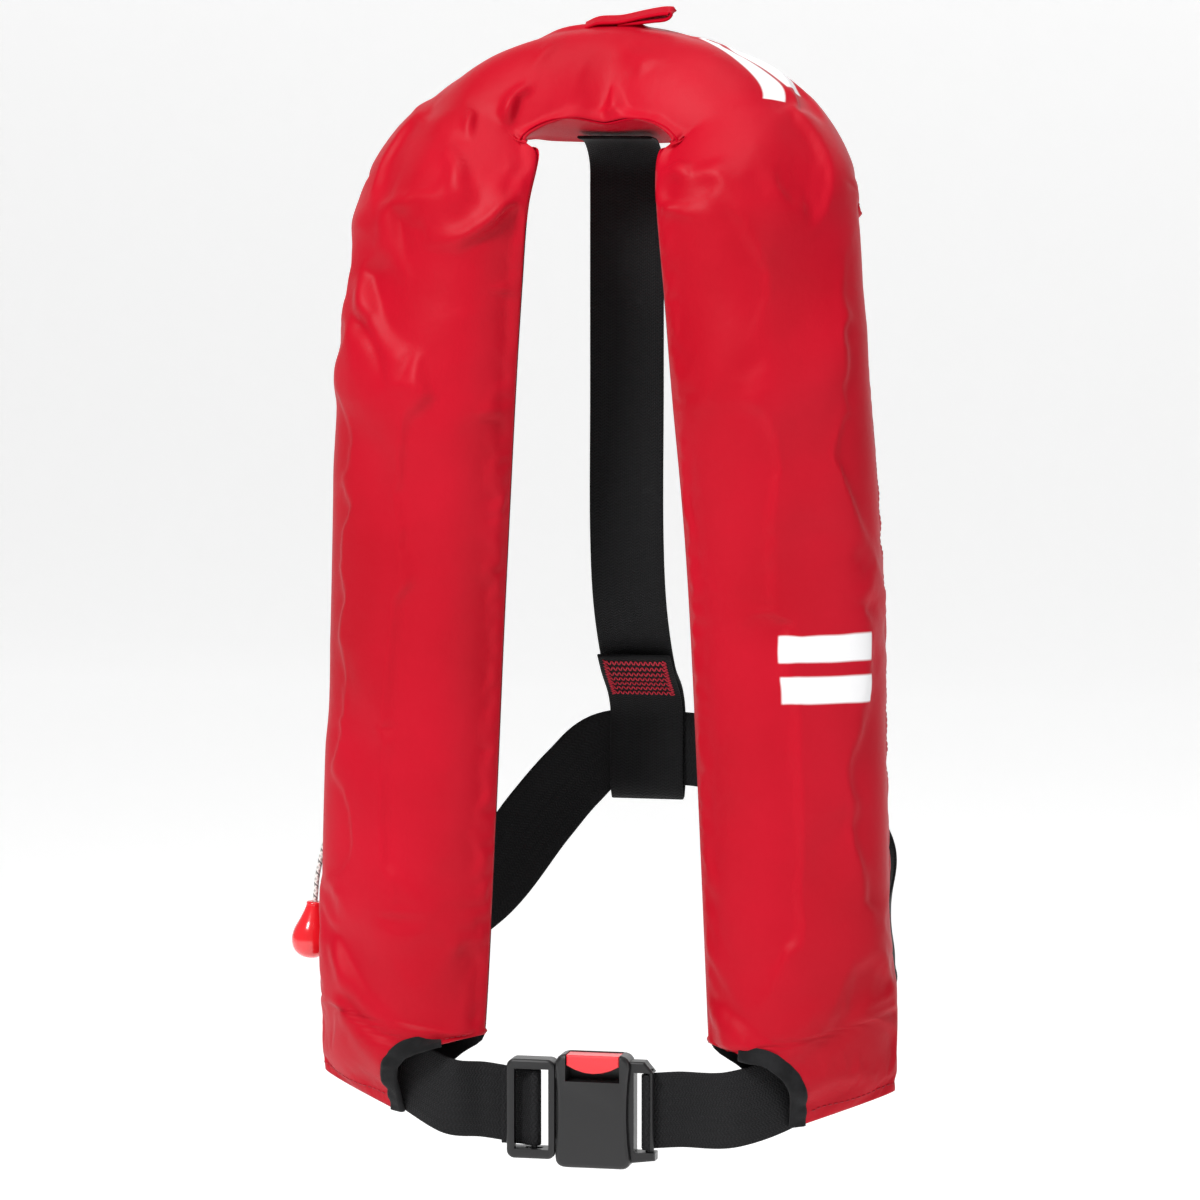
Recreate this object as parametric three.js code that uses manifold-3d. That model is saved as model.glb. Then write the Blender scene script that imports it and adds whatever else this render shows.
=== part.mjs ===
// Inflatable life jacket, horseshoe pattern, folded and closed, hanging as it is worn.
// Millimetres. +X is the wearer's left, +Y the wearer's back, +Z up.
// The origin is on the wearer's side of the collar, where it rests on the nape.
import * as THREE from "three";
import { mergeVertices } from "three/addons/utils/BufferGeometryUtils.js";
import Module from "manifold-3d";

const wasm = await Module();
wasm.setup();

// ---- Driving dimensions ------------------------------------------------------------
const jacketDrop = 487; // nape seat down to the middle of the hem
const lobeWidth = 98; // one lobe, edge to edge, at chest height
const hemWidth = 93; // one lobe at the hem
const collarWidth = 66; // the cover's band behind the neck
const collarThickness = 54;
const neckHalfGap = 48; // half the gap between the lobes at the collarbone
const hemHalfGap = 64; // half the gap between the lobes at the hem
const chestY = -48; // lobe centre line, ahead of the nape
const napeSlope = 10; // how far the collar's outer edge droops, degrees
const coverWall = 1.6; // coated fabric and its lining
const panelWall = 1.2;
const gap = 0.3; // between pieces that touch
const seamGap = 0.6; // between the cover and the panel, whose facets differ
const hemSlope = 0.31; // rise of the hem per width, from the inner to the outer corner
const hemThickness = 6;
const foldedLayer = 2; // the bladder where it lies flat behind the inflator
const tapeWall = 0.8;

const webbing = 38; // width of all the webbing
const webbingThickness = 1.5;

const cylinderDiameter = 30; // 33 g carbon dioxide cylinder
const cylinderLength = 138;
const cylinderNeck = 12.7;
const cylinderNeckLength = 14;

const buckleThickness = 15;
const housingWidth = 37;
const buckleWall = 1.4;
const buttonTravel = 3.5;

const cordDiameter = 2.6;
const handleDiameter = 20;
const handleLength = 29;

const inflatorAboveHem = 204;
const oralTubeAboveHem = 290;
const oralTubeDiameter = 12;
const beltBackAboveHem = 169; // how high the belt is drawn up at the back
const beltBackY = 76;
const strapY = 22; // the straight stretch of the back strap

// ---- Derived sizes -----------------------------------------------------------------
const layers = panelWall + 2 * tapeWall + 3 * gap + foldedLayer;
const lobeThickness = cylinderDiameter + layers + coverWall + 3.9;
const hemZ = -jacketDrop;
const webHalf = webbing / 2;

// ---- Materials ---------------------------------------------------------------------
function finish(color, roughness, metalness = 0) {
  return new THREE.MeshStandardMaterial({ color, roughness, metalness });
}
const looks = {
  redFabric: finish(0xc8102a, 0.5),
  blackFabric: finish(0x1a1a1c, 0.85),
  webbing: finish(0x141416, 0.8),
  blackPlastic: finish(0x1c1c1e, 0.45),
  redPlastic: finish(0xe0141c, 0.35),
  bladder: finish(0xf2c21a, 0.6),
  steel: finish(0xb4b6ba, 0.3, 1),
  brass: finish(0xb08d4a, 0.35, 1),
  whitePlastic: finish(0xe8e8e4, 0.5),
  greenPlastic: finish(0x2fa84f, 0.45),
  rubber: finish(0x202020, 0.9),
  orangePlastic: finish(0xf07018, 0.45),
  whiteCord: finish(0xe6e2dc, 0.8),
};

const jacket = new THREE.Group();

function add(name, geometry, look, parent = jacket) {
  const mesh = new THREE.Mesh(geometry, look);
  mesh.name = name;
  parent.add(mesh);
  return mesh;
}

// ---- Solids ------------------------------------------------------------------------
const vector = (x, y, z) => new THREE.Vector3(x, y, z);

function signedVolume(points, index) {
  let sum = 0;
  for (let i = 0; i < index.length; i += 3) {
    const [a, b, c] = [points[index[i]], points[index[i + 1]], points[index[i + 2]]];
    sum += a.dot(b.clone().cross(c)) / 6;
  }
  return sum;
}

// A closed solid between two sheets: rows[i] = { top: [points], bottom: [points] }.
function sheetSolid(rows) {
  const across = rows[0].top.length;
  const points = [];
  for (const row of rows) points.push(...row.top, ...row.bottom);
  const top = (i, j) => i * 2 * across + j;
  const bottom = (i, j) => top(i, j) + across;
  const index = [];
  const quad = (a, b, c, d) => index.push(a, b, c, a, c, d);
  const last = rows.length - 1;
  for (let i = 0; i < last; i++) {
    for (let j = 0; j < across - 1; j++) {
      quad(top(i, j), top(i + 1, j), top(i + 1, j + 1), top(i, j + 1));
      quad(bottom(i, j), bottom(i, j + 1), bottom(i + 1, j + 1), bottom(i + 1, j));
    }
    quad(top(i, 0), bottom(i, 0), bottom(i + 1, 0), top(i + 1, 0));
    quad(top(i, across - 1), top(i + 1, across - 1), bottom(i + 1, across - 1), bottom(i, across - 1));
  }
  for (let j = 0; j < across - 1; j++) {
    quad(top(0, j), top(0, j + 1), bottom(0, j + 1), bottom(0, j));
    quad(top(last, j), bottom(last, j), bottom(last, j + 1), top(last, j + 1));
  }
  if (signedVolume(points, index) < 0) index.reverse();
  const geometry = new THREE.BufferGeometry().setFromPoints(points);
  geometry.setIndex(index);
  geometry.computeVertexNormals();
  return geometry;
}

function toSolid(geometry) {
  const bare = geometry.clone();
  bare.deleteAttribute("normal");
  bare.deleteAttribute("uv");
  const merged = mergeVertices(bare, 1e-3);
  return new wasm.Manifold(
    new wasm.Mesh({
      numProp: 3,
      vertProperties: merged.attributes.position.array,
      triVerts: new Uint32Array(merged.index.array),
    }),
  );
}

function fromSolid(solid) {
  const mesh = solid.getMesh();
  const geometry = new THREE.BufferGeometry();
  geometry.setAttribute("position", new THREE.BufferAttribute(mesh.vertProperties, 3));
  geometry.setIndex(new THREE.BufferAttribute(mesh.triVerts, 1));
  geometry.computeVertexNormals();
  return geometry;
}

function join(...geometries) {
  return fromSolid(geometries.map(toSolid).reduce((a, b) => a.add(b)));
}

function carve(geometry, ...cutters) {
  return fromSolid(cutters.map(toSolid).reduce((a, b) => a.subtract(b), toSolid(geometry)));
}

// A box from its lowest to its highest corner.
function block(x0, y0, z0, x1, y1, z1) {
  return new THREE.BoxGeometry(x1 - x0, y1 - y0, z1 - z0).translate(
    (x0 + x1) / 2, (y0 + y1) / 2, (z0 + z1) / 2);
}

// A rod along "x", "y" or "z" from one place to another.
function rod(axis, radius, from, to, at = vector(0, 0, 0), sides = 24) {
  const made = new THREE.CylinderGeometry(radius, radius, to - from, sides);
  made.translate(0, (from + to) / 2, 0);
  if (axis === "z") made.rotateX(Math.PI / 2);
  if (axis === "x") made.rotateZ(-Math.PI / 2);
  return made.translate(at.x, at.y, at.z);
}

// A solid of revolution about Z: profile is [radius, height] pairs, the last back at the first.
function turned(profile, sides = 28) {
  const points = profile.map(([r, z]) => new THREE.Vector2(r, z));
  return new THREE.LatheGeometry(points, sides).rotateX(Math.PI / 2);
}

// An outline in X and Z made thick in Y, rounded at its corners by `bevel`.
function plate(shape, y0, y1, bevel = 0) {
  const made = new THREE.ExtrudeGeometry(shape, {
    depth: y1 - y0 - 2 * bevel,
    bevelEnabled: bevel > 0,
    bevelThickness: bevel,
    bevelSize: bevel,
    bevelOffset: -bevel,
    bevelSegments: 2,
    curveSegments: 6,
  });
  return made.rotateX(Math.PI / 2).translate(0, y1 - bevel, 0);
}

function roundedRectangle(x0, z0, x1, z1, radius) {
  const s = new THREE.Shape();
  s.moveTo(x0 + radius, z0);
  s.lineTo(x1 - radius, z0);
  s.absarc(x1 - radius, z0 + radius, radius, -Math.PI / 2, 0);
  s.lineTo(x1, z1 - radius);
  s.absarc(x1 - radius, z1 - radius, radius, 0, Math.PI / 2);
  s.lineTo(x0 + radius, z1);
  s.absarc(x0 + radius, z1 - radius, radius, Math.PI / 2, Math.PI);
  s.lineTo(x0, z0 + radius);
  s.absarc(x0 + radius, z0 + radius, radius, Math.PI, 1.5 * Math.PI);
  return s;
}

// A flat strap along a route of { at, up } stops; `up` is across its width.
function strap(route, width, thickness, steps) {
  const line = new THREE.CatmullRomCurve3(route.map((r) => r.at), false, "centripetal");
  const ups = new THREE.CatmullRomCurve3(route.map((r) => r.up), false, "catmullrom", 0.5);
  const rows = [];
  for (let i = 0; i <= steps; i++) {
    const u = i / steps;
    const along = line.getTangent(u);
    const up = ups.getPoint(u).projectOnPlane(along).normalize();
    const out = along.clone().cross(up);
    const place = (w, h) => line.getPoint(u).addScaledVector(up, w).addScaledVector(out, h);
    rows.push({
      top: [place(-width / 2, thickness / 2), place(width / 2, thickness / 2)],
      bottom: [place(-width / 2, -thickness / 2), place(width / 2, -thickness / 2)],
    });
  }
  return sheetSolid(rows);
}

// ---- The horseshoe that the cover, panel and bladder share ---------------------------
// Stops from the hem of the wearer's left lobe to the nape. `out` points across the band
// from the neck side to the outer side.
const toe = (degrees, drop = 0) => {
  const a = THREE.MathUtils.degToRad(degrees);
  return vector(Math.cos(a), Math.sin(a), drop).normalize();
};
const slope = THREE.MathUtils.degToRad(napeSlope);
const napeOut = vector(0, Math.cos(slope), -Math.sin(slope));
const napeUp = vector(0, Math.sin(slope), Math.cos(slope));
const nape = napeUp.clone().multiplyScalar(collarThickness / 2);
const lobeHalf = lobeWidth / 2;
const deep = lobeThickness / 2;

function stop(halfGap, y, z, half, thick, out) {
  return { at: vector(halfGap + half * out.x, y, z), half, thick, out };
}
const hemHalf = hemWidth / 2;
const leftStops = [
  stop(hemHalfGap, chestY, hemZ, hemHalf, hemThickness / 2, toe(27)),
  stop(hemHalfGap + 1, chestY, hemZ + 58, hemHalf + 0.5, deep - 1, toe(27)),
  stop(neckHalfGap + 7, chestY - 1, -228, lobeHalf, deep, toe(25)),
  stop(neckHalfGap, chestY - 8, -126, lobeHalf + 1.3, deep, toe(25)),
  stop(neckHalfGap - 1, chestY - 2, -77, lobeHalf + 2.6, deep, toe(33)),
  stop(neckHalfGap - 2, chestY + 8, -27, lobeHalf + 5, deep, toe(43)),
  { at: vector(75, -15, 3), half: (lobeHalf + collarWidth / 2) / 2 + 6, thick: deep + 1,
    out: vector(0.62, 0.7, -0.28) },
  { at: vector(45, nape.y - 11, nape.z - 3), half: collarWidth / 2 + 5, thick: collarThickness / 2 - 4,
    out: vector(0.36, 0.85, -0.2) },
];
const napeStop = { at: nape, half: collarWidth / 2, thick: collarThickness / 2, out: napeOut };
const mirrored = (v) => vector(-v.x, v.y, v.z);
const rightStops = leftStops.map((s) => ({ ...s, at: mirrored(s.at), out: mirrored(s.out) })).reverse();
const stops = [...leftStops, napeStop, ...rightStops];
const lastStop = stops.length - 1;

const centreLine = new THREE.CatmullRomCurve3(stops.map((s) => s.at), false, "catmullrom", 0.5);
const outLine = new THREE.CatmullRomCurve3(stops.map((s) => s.out), false, "catmullrom", 0.5);
const sizeLine = new THREE.CatmullRomCurve3(
  stops.map((s) => vector(s.half, s.thick, 0)), false, "catmullrom", 0.5);

// The band's own axes at a stop number, whole or not: 0 is one hem and lastStop the other.
function bandAt(number) {
  const u = THREE.MathUtils.clamp(number / lastStop, 0, 1);
  const at = centreLine.getPoint(u);
  const along = centreLine.getTangent(u);
  const out = outLine.getPoint(u).projectOnPlane(along).normalize();
  const size = sizeLine.getPoint(u);
  const face = out.clone().cross(along).normalize();
  const aboveHem = Math.min(number, lastStop - number) < 3 ? at.z - hemZ : Infinity;
  const upward = number < lastStop / 2 ? along.clone() : along.clone().negate();
  return { at, out, face, upward, half: size.x, thick: size.y, aboveHem, number };
}

// A point of the band: q across it (neck side negative), h out of its face.
function bandPoint(band, q, h) {
  const fade = THREE.MathUtils.clamp(1 - band.aboveHem / 130, 0, 1);
  return band.at.clone().addScaledVector(band.out, q).addScaledVector(band.face, h)
    .addScaledVector(band.upward, hemSlope * q * fade);
}

// The stop number at a height on a lobe: side +1 is the wearer's left, -1 the right.
function numberAt(side, z) {
  let low = 0;
  let high = 5;
  for (let i = 0; i < 40; i++) {
    const middle = (low + high) / 2;
    if (centreLine.getPoint(middle / lastStop).z < z) low = middle;
    else high = middle;
  }
  return side > 0 ? low : lastStop - low;
}

// The crown of the front, a squarish D: angle 0 is the neck side's seam and PI the outer seam.
const crownPower = 0.72; // full over the outer half, where the inflator and cylinder lie
const neckSidePower = 0.92; // rounder towards the neck
const powerOn = (q) => (q < 0 ? neckSidePower : crownPower);
function crown(band, angle, inset = 0) {
  const c = Math.cos(angle);
  const power = powerOn(-c);
  const q = -Math.sign(c) * Math.abs(c) ** power * (band.half - inset);
  const h = Math.abs(Math.sin(angle)) ** power * (2 * band.thick - inset) - band.thick;
  return { q, h };
}
function angleAt(band, q) {
  const share = THREE.MathUtils.clamp(Math.abs(q) / band.half, 0, 1) ** (1 / powerOn(q));
  return Math.acos(-Math.sign(q) * share);
}
function angleAtHeight(band, rise) {
  const share = THREE.MathUtils.clamp(rise / (2 * band.thick), 0, 1) ** (1 / crownPower);
  return Math.PI - Math.asin(share);
}

// ---- Front cover -------------------------------------------------------------------
const mouthWidth = webbing + 2; // the belt's mouth at the inner corner of each hem
const mouthHeight = webbing + 8;
const slitHalf = 46; // the pull cord's slit in the outer seam of the wearer's right lobe
const slitRise = 9;
const inflatorZ = hemZ + inflatorAboveHem;
const slitZ = inflatorZ - 58;

function mouthEdge(band) {
  if (band.aboveHem >= mouthHeight) return -band.half;
  return -band.half + mouthWidth * Math.sqrt(1 - (band.aboveHem / mouthHeight) ** 2);
}
function seamAngle(band) {
  const from = Math.abs(band.at.z - slitZ) / slitHalf;
  if (band.number < lastStop / 2 || from >= 1) return Math.PI;
  return angleAtHeight(band, slitRise * Math.sqrt(1 - from ** 2));
}

const hemNumbers = [0, 0.2, 0.4, 0.6, 0.72, 0.79, 1];
const bodyNumbers = [];
for (let k = -2; k <= 2; k++) bodyNumbers.push(numberAt(1, slitZ + (k * slitHalf) / 2));
for (let n = 2; n < 7.9; n += 0.39) bodyNumbers.push(n);
const halfNumbers = [...hemNumbers, ...bodyNumbers];
const numbers = [...halfNumbers, lastStop / 2, ...halfNumbers.map((n) => lastStop - n).reverse()];
const bands = numbers.map(bandAt);

function frontCover() {
  const across = 13;
  const rows = bands.map((band) => {
    const first = angleAt(band, mouthEdge(band));
    const last = seamAngle(band);
    const row = { top: [], bottom: [] };
    for (let j = 0; j < across; j++) {
      const angle = first + ((last - first) * j) / (across - 1);
      const outer = crown(band, angle);
      const inner = crown(band, angle, coverWall);
      row.top.push(bandPoint(band, outer.q, outer.h));
      row.bottom.push(bandPoint(band, inner.q, inner.h));
    }
    return row;
  });
  return sheetSolid(rows);
}
add("front_cover", frontCover(), looks.redFabric);

// ---- Back panel --------------------------------------------------------------------
const beltSlotIn = 23; // the belt's slot in the panel, from the lobe's middle
const beltSlotOut = 41;
const beltSlotZ = hemZ + 54;
const slotHalf = webHalf + 3.5;
const slotSag = 10; // lower for the belt that climbs through it

function flatBand(chosen, q0, q1, h0, h1, across = 2) {
  const rows = chosen.map((band) => {
    const row = { top: [], bottom: [] };
    const from = q0(band);
    const to = q1(band);
    for (let j = 0; j < across; j++) {
      const q = from + ((to - from) * j) / (across - 1);
      row.top.push(bandPoint(band, q, h1(band)));
      row.bottom.push(bandPoint(band, q, h0(band)));
    }
    return row;
  });
  return sheetSolid(rows);
}

// A frame on a lobe: +Y out of its face, +Z up along its chord to the height `top`.
function lobeFrame(side, z, top) {
  const band = bandAt(numberAt(side, z));
  const frame = new THREE.Group();
  const up = bandAt(numberAt(side, top)).at.clone().sub(band.at).normalize();
  const across = band.face.clone().cross(up).normalize();
  const out = up.clone().cross(across);
  frame.applyMatrix4(new THREE.Matrix4().makeBasis(across, out, up).setPosition(band.at));
  frame.updateMatrixWorld(true);
  return { frame, band };
}
function beltSlotCutter(side) {
  const { frame, band } = lobeFrame(side, beltSlotZ, beltSlotZ + 10);
  const outward = -side; // the frame's +X points out on the wearer's right lobe only
  const [x0, x1] = [outward * beltSlotIn, outward * beltSlotOut].sort((a, b) => a - b);
  return block(x0, -band.thick - 12, -slotHalf - slotSag, x1, -band.thick + 8, slotHalf)
    .applyMatrix4(frame.matrixWorld);
}
const backPanel = flatBand(
  bands, (b) => Math.max(-b.half, mouthEdge(b) - 12), (b) => b.half,
  (b) => -b.thick - seamGap - panelWall, (b) => -b.thick - seamGap, 4);
add("back_panel", carve(backPanel, beltSlotCutter(1), beltSlotCutter(-1)), looks.blackFabric);

// ---- Closure tapes inside the outer seam ---------------------------------------------
const tapeWidth = 12;
// The tapes start above the belt's mouths, and on the right above the cord's slit.
const tapeFoot = 100;
const tapeFootRight = slitZ + slitHalf + 8;
const tapeBands = bands.filter((b) => {
  const besideSlit = b.number > lastStop / 2 && b.at.z < tapeFootRight;
  return b.aboveHem > tapeFoot && !besideSlit;
});
const tapeOut = (b) => b.half - coverWall - 1.5;
// Round the neck the panel's facets twist, so what lies on it is held a little clear.
const collarLift = (b) => THREE.MathUtils.smoothstep(Math.min(b.number, lastStop - b.number), 3.5, 5);
const tapeFloor = (b) => collarLift(b) - b.thick;
add("closure_loop_tape",
  flatBand(tapeBands, (b) => tapeOut(b) - tapeWidth, tapeOut, tapeFloor, (b) => tapeFloor(b) + tapeWall),
  looks.blackFabric);
add("closure_hook_tape",
  flatBand(tapeBands, (b) => tapeOut(b) - tapeWidth, tapeOut,
    (b) => tapeFloor(b) + tapeWall + gap, (b) => tapeFloor(b) + 2 * tapeWall + gap),
  looks.redFabric);

// ---- Bladder: full where it is alone, flat where the inflator or the oral tube lies ------
const bladderFloor = 2 * tapeWall + 3 * gap; // above the panel
const bladderEdge = 6; // in from the cover's edge
const bladderHemClear = 92;
const inflatorInside = 24; // the folds end this far in from the inner edge beside the cylinder
const bladderSlack = 3; // between the folds and the cover
const bladderLift = 4.5; // how far it stands off the panel round the neck
const cylinderTopZ = inflatorZ + 28 + cylinderLength;
const oralTubeZ = hemZ + oralTubeAboveHem;
const oralTopZ = oralTubeZ + 118;

// How far across the band the folds reach: beside them only one flat layer lies.
function foldEdge(band) {
  const wearersRight = band.number > lastStop / 2;
  const top = (wearersRight ? cylinderTopZ : oralTopZ) + 4;
  const edge = wearersRight ? inflatorInside - lobeWidth / 2 : 2;
  const free = THREE.MathUtils.smoothstep(band.at.z, top, top + 26);
  const beyond = Math.min(band.number, lastStop - band.number) > 5 ? 1 : free;
  return THREE.MathUtils.lerp(edge, band.half, beyond);
}
const foldStep = 6;
const collarInset = 13;
const bladderReach = (band) => band.half - bladderEdge - collarInset * collarLift(band);
const foldEdgeInside = (band) => Math.min(foldEdge(band), bladderReach(band));
function bladderTop(band, q) {
  const low = bladderLift * collarLift(band) + bladderFloor + foldedLayer;
  const inside = { half: band.half - coverWall - bladderSlack, thick: band.thick };
  const full = crown(inside, angleAt(inside, q)).h + band.thick - coverWall - bladderSlack;
  const edge = foldEdgeInside(band);
  const raised = 1 - THREE.MathUtils.smoothstep(q, edge - foldStep, edge);
  return THREE.MathUtils.lerp(low, Math.max(low, full), raised) - band.thick;
}
function bladder() {
  const raisedSteps = 6;
  const chosen = bands.filter((b) => b.aboveHem > bladderHemClear);
  const rows = chosen.map((band) => {
    const row = { top: [], bottom: [] };
    const reach = bladderReach(band);
    const edge = foldEdgeInside(band);
    const places = [];
    for (let j = 0; j <= raisedSteps; j++) {
      const share = (1 - Math.cos((Math.PI * j) / (raisedSteps + 1))) / 2;
      places.push(-reach + share * (edge - foldStep + reach));
    }
    places.push(edge - foldStep, edge, edge + (reach - edge) / 2 + 0.1, reach + 0.2);
    for (const q of places) {
      row.top.push(bandPoint(band, q, bladderTop(band, q)));
      row.bottom.push(bandPoint(band, q, bladderLift * collarLift(band) + bladderFloor - band.thick));
    }
    return row;
  });
  return sheetSolid(rows);
}
add("bladder", bladder(), looks.bladder);


// ---- Manual inflator, on the wearer's right -------------------------------------------
// Its own frame: +X across the lobe towards the outer seam, +Y out of its face, +Z up.
const right = lobeFrame(-1, inflatorZ, cylinderTopZ);
jacket.add(right.frame);
const floorY = -right.band.thick + bladderFloor + foldedLayer + gap; // top of the flat layer
const cylinderX = 12;
const stemX = -8;
const stemZ = 8;
const stemRadius = 5;
const bodyThickness = 20;
const flange = 2.4;
const bodyY0 = floorY + (cylinderDiameter - bodyThickness) / 2 + 1; // the cylinder just clears the floor
const bodyY1 = bodyY0 + bodyThickness;
const bodyMid = (bodyY0 + bodyY1) / 2;
const bodyTop = 28;
const bodyBottom = -26;
const pinRadius = 2.3;
const pinStroke = 3;
const pivot = { x: 4, z: -18 };
const chamberRadius = 6.5;
const slotWidth = 6.4;
const neckFloor = bodyTop - cylinderNeckLength;
const slotTop = -12; // the nose lies under the pin here, and swings up into the slot's roof
const slotRoof = slotTop + pinStroke + 1.4;

function inflatorBody() {
  const shell = plate(roundedRectangle(-20, bodyBottom, 26, bodyTop, 4), bodyY0, bodyY1, 1.5);
  const cylinderLine = vector(cylinderX, bodyMid, 0);
  const neckBore = rod("z", cylinderNeck / 2 + gap, neckFloor - gap, bodyTop + 5, cylinderLine);
  const pinBore = rod("z", pinRadius + gap, slotTop - 2, neckFloor + 5, cylinderLine);
  const stemBore = rod("y", stemRadius + gap, bodyY0 - 5, bodyY1 + 5, vector(stemX, 0, stemZ));
  const chamber = rod("z", chamberRadius, bodyBottom - 5, -9, vector(stemX, bodyMid, 0));
  const slotHalf = slotWidth / 2;
  const leverSlot = block(-1, bodyMid - slotHalf, bodyBottom - 5, 30, bodyMid + slotHalf, slotRoof);
  const pivotHole = rod("y", 1.5 + gap, bodyY0 - 5, bodyY1 + 5, vector(pivot.x, 0, pivot.z), 16);
  return carve(shell, neckBore, pinBore, stemBore, chamber, leverSlot, pivotHole);
}
add("inflator_body", inflatorBody(), looks.blackPlastic, right.frame);

// The bladder's flanged valve: the body hangs on its stem, under a gasket and a cap nut.
const manifold = turned([
  [0, 0], [15, 0], [15, 1.6], [stemRadius + 2, flange], [stemRadius, flange],
  [stemRadius, flange + bodyThickness + 6], [0, flange + bodyThickness + 6],
], 32).rotateX(-Math.PI / 2).translate(stemX, floorY, stemZ);
add("manifold_valve", manifold, looks.brass, right.frame);
const gasketWall = bodyY0 - floorY - flange - 2 * gap;
const gasket = turned([
  [stemRadius + gap, 0], [11, 0], [11, gasketWall], [stemRadius + gap, gasketWall], [stemRadius + gap, 0],
]).rotateX(-Math.PI / 2).translate(stemX, floorY + flange + gap, stemZ);
add("manifold_gasket", gasket, looks.rubber, right.frame);
const capNut = carve(
  new THREE.CylinderGeometry(9, 9, 6.2, 6).translate(stemX, bodyY1 + gap + 3.1, stemZ),
  rod("y", stemRadius + gap, bodyY1 - 5, bodyY1 + 4.6, vector(stemX, 0, stemZ)));
add("manifold_cap_nut", capNut, looks.brass, right.frame);
const leverPin = rod("y", 1.5, bodyY0 + 0.5, bodyY1 - 0.5, vector(pivot.x, 0, pivot.z), 16);
add("lever_pin", leverPin, looks.steel, right.frame);

const neckRadius = cylinderNeck / 2;
const shoulderRise = 20;
const cylinder = turned([
  [0, 0], [neckRadius, 0], [neckRadius, cylinderNeckLength + gap],
  [10.5, cylinderNeckLength + 7], [14, cylinderNeckLength + 13],
  [cylinderDiameter / 2, shoulderRise + cylinderNeckLength],
  [cylinderDiameter / 2, cylinderLength - 9], [13, cylinderLength - 3],
  [8, cylinderLength], [0, cylinderLength],
], 32).translate(cylinderX, bodyMid, neckFloor);
add("gas_cylinder", cylinder, looks.steel, right.frame);

const piercingPin = turned([
  [0, slotTop + gap], [pinRadius, slotTop + gap], [pinRadius, 6], [0.6, 10.4], [0, 10.4],
], 16).translate(cylinderX, bodyMid, 0);
add("piercing_pin", piercingPin, looks.steel, right.frame);

// The lever: a nose under the pin, and an arm to the cord's eye.
function leverOutline() {
  const s = new THREE.Shape();
  s.moveTo(-4, -4);
  s.lineTo(-4, 3);
  s.lineTo(5, slotTop - pivot.z - gap);
  s.lineTo(9.5, slotTop - pivot.z - gap);
  s.lineTo(13, 0);
  s.lineTo(20, -4);
  s.lineTo(25, -40);
  s.lineTo(22, -45);
  s.lineTo(16, -43);
  s.lineTo(14, -10);
  s.lineTo(4, -5);
  s.closePath();
  return s;
}
const leverEye = { x: pivot.x + 20.6, z: pivot.z - 39 };
const lever = carve(
  plate(leverOutline(), bodyMid - 2.6, bodyMid + 2.6, 0.6).translate(pivot.x, 0, pivot.z),
  rod("y", 1.5 + gap, bodyMid - 9, bodyMid + 9, vector(pivot.x, 0, pivot.z), 16),
  rod("y", cordDiameter / 2 + 0.5, bodyMid - 9, bodyMid + 9, vector(leverEye.x, 0, leverEye.z), 16));
add("pull_lever", lever, looks.redPlastic, right.frame);

const capsuleCap = turned([
  [0, -20], [8, -20], [9, -18], [9, 0], [chamberRadius - gap, 0], [chamberRadius - gap, 6],
  [chamberRadius - 1.6, 6], [chamberRadius - 1.6, -16], [0, -16],
]).translate(stemX, bodyMid, bodyBottom - gap);
add("capsule_cap", capsuleCap, looks.greenPlastic, right.frame);
add("salt_capsule", rod("z", 4.5, bodyBottom - 16, bodyBottom + 14, vector(stemX, bodyMid, 0)),
  looks.whitePlastic, right.frame);

// ---- Oral tube and whistle, on the wearer's left ---------------------------------------
// The same kind of frame, but here +X points to the neck side.
const tubeLength = 92;
const left = lobeFrame(1, oralTubeZ, oralTubeZ + tubeLength);
jacket.add(left.frame);
const tubeFloor = -left.band.thick + bladderFloor + foldedLayer + gap + 1;
const tubeX = -24;
const tubeRadius = oralTubeDiameter / 2;
const tubeBore = 3.9;
const tubeY = tubeFloor + 1.6 + tubeRadius + 2;

const elbow = rod("y", tubeRadius + 1, tubeFloor + 1, tubeY, vector(tubeX, 0, 0));
const oralTube = carve(
  join(
    rod("y", 15, tubeFloor, tubeFloor + 1.6, vector(tubeX, 0, 0)), elbow,
    rod("z", tubeRadius, -tubeRadius - 1, tubeLength, vector(tubeX, tubeY, 0))),
  rod("z", tubeBore, 3, tubeLength + 5, vector(tubeX, tubeY, 0)));
add("oral_tube", oralTube, looks.rubber, left.frame);

const valve = turned([
  [0, tubeLength - 16], [1, tubeLength - 16], [1, tubeLength - 4],
  [tubeBore - gap, tubeLength - 3], [tubeBore - gap, tubeLength - 1], [0, tubeLength - 1],
], 20).translate(tubeX, tubeY, 0);
add("oral_valve", valve, looks.whitePlastic, left.frame);

const capInside = tubeRadius + gap;
const tubeCap = turned([
  [0, tubeLength + gap], [capInside, tubeLength + gap], [capInside, tubeLength - 14],
  [capInside + 1.4, tubeLength - 14], [capInside + 1.4, tubeLength + 1], [capInside, tubeLength + 2.4],
  [0, tubeLength + 2.4],
]).translate(tubeX, tubeY, 0);
add("oral_tube_cap", tubeCap, looks.blackPlastic, left.frame);

const whistleX = tubeX - 1;
const whistleZ = -60;
const whistleShape = roundedRectangle(whistleX - 8, whistleZ - 22, whistleX + 8, whistleZ + 22, 5);
const whistle = carve(
  plate(whistleShape, tubeFloor, tubeFloor + 9, 1.5),
  rod("y", 2.1, tubeFloor - 5, tubeFloor + 15, vector(whistleX, 0, whistleZ + 16), 16),
  block(whistleX - 5, tubeFloor + 2, whistleZ - 30, whistleX + 5, tubeFloor + 7, whistleZ - 4),
  block(whistleX - 4, tubeFloor + 6, whistleZ - 9, whistleX + 4, tubeFloor + 15, whistleZ - 4));
add("whistle", whistle, looks.orangePlastic, left.frame);

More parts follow.
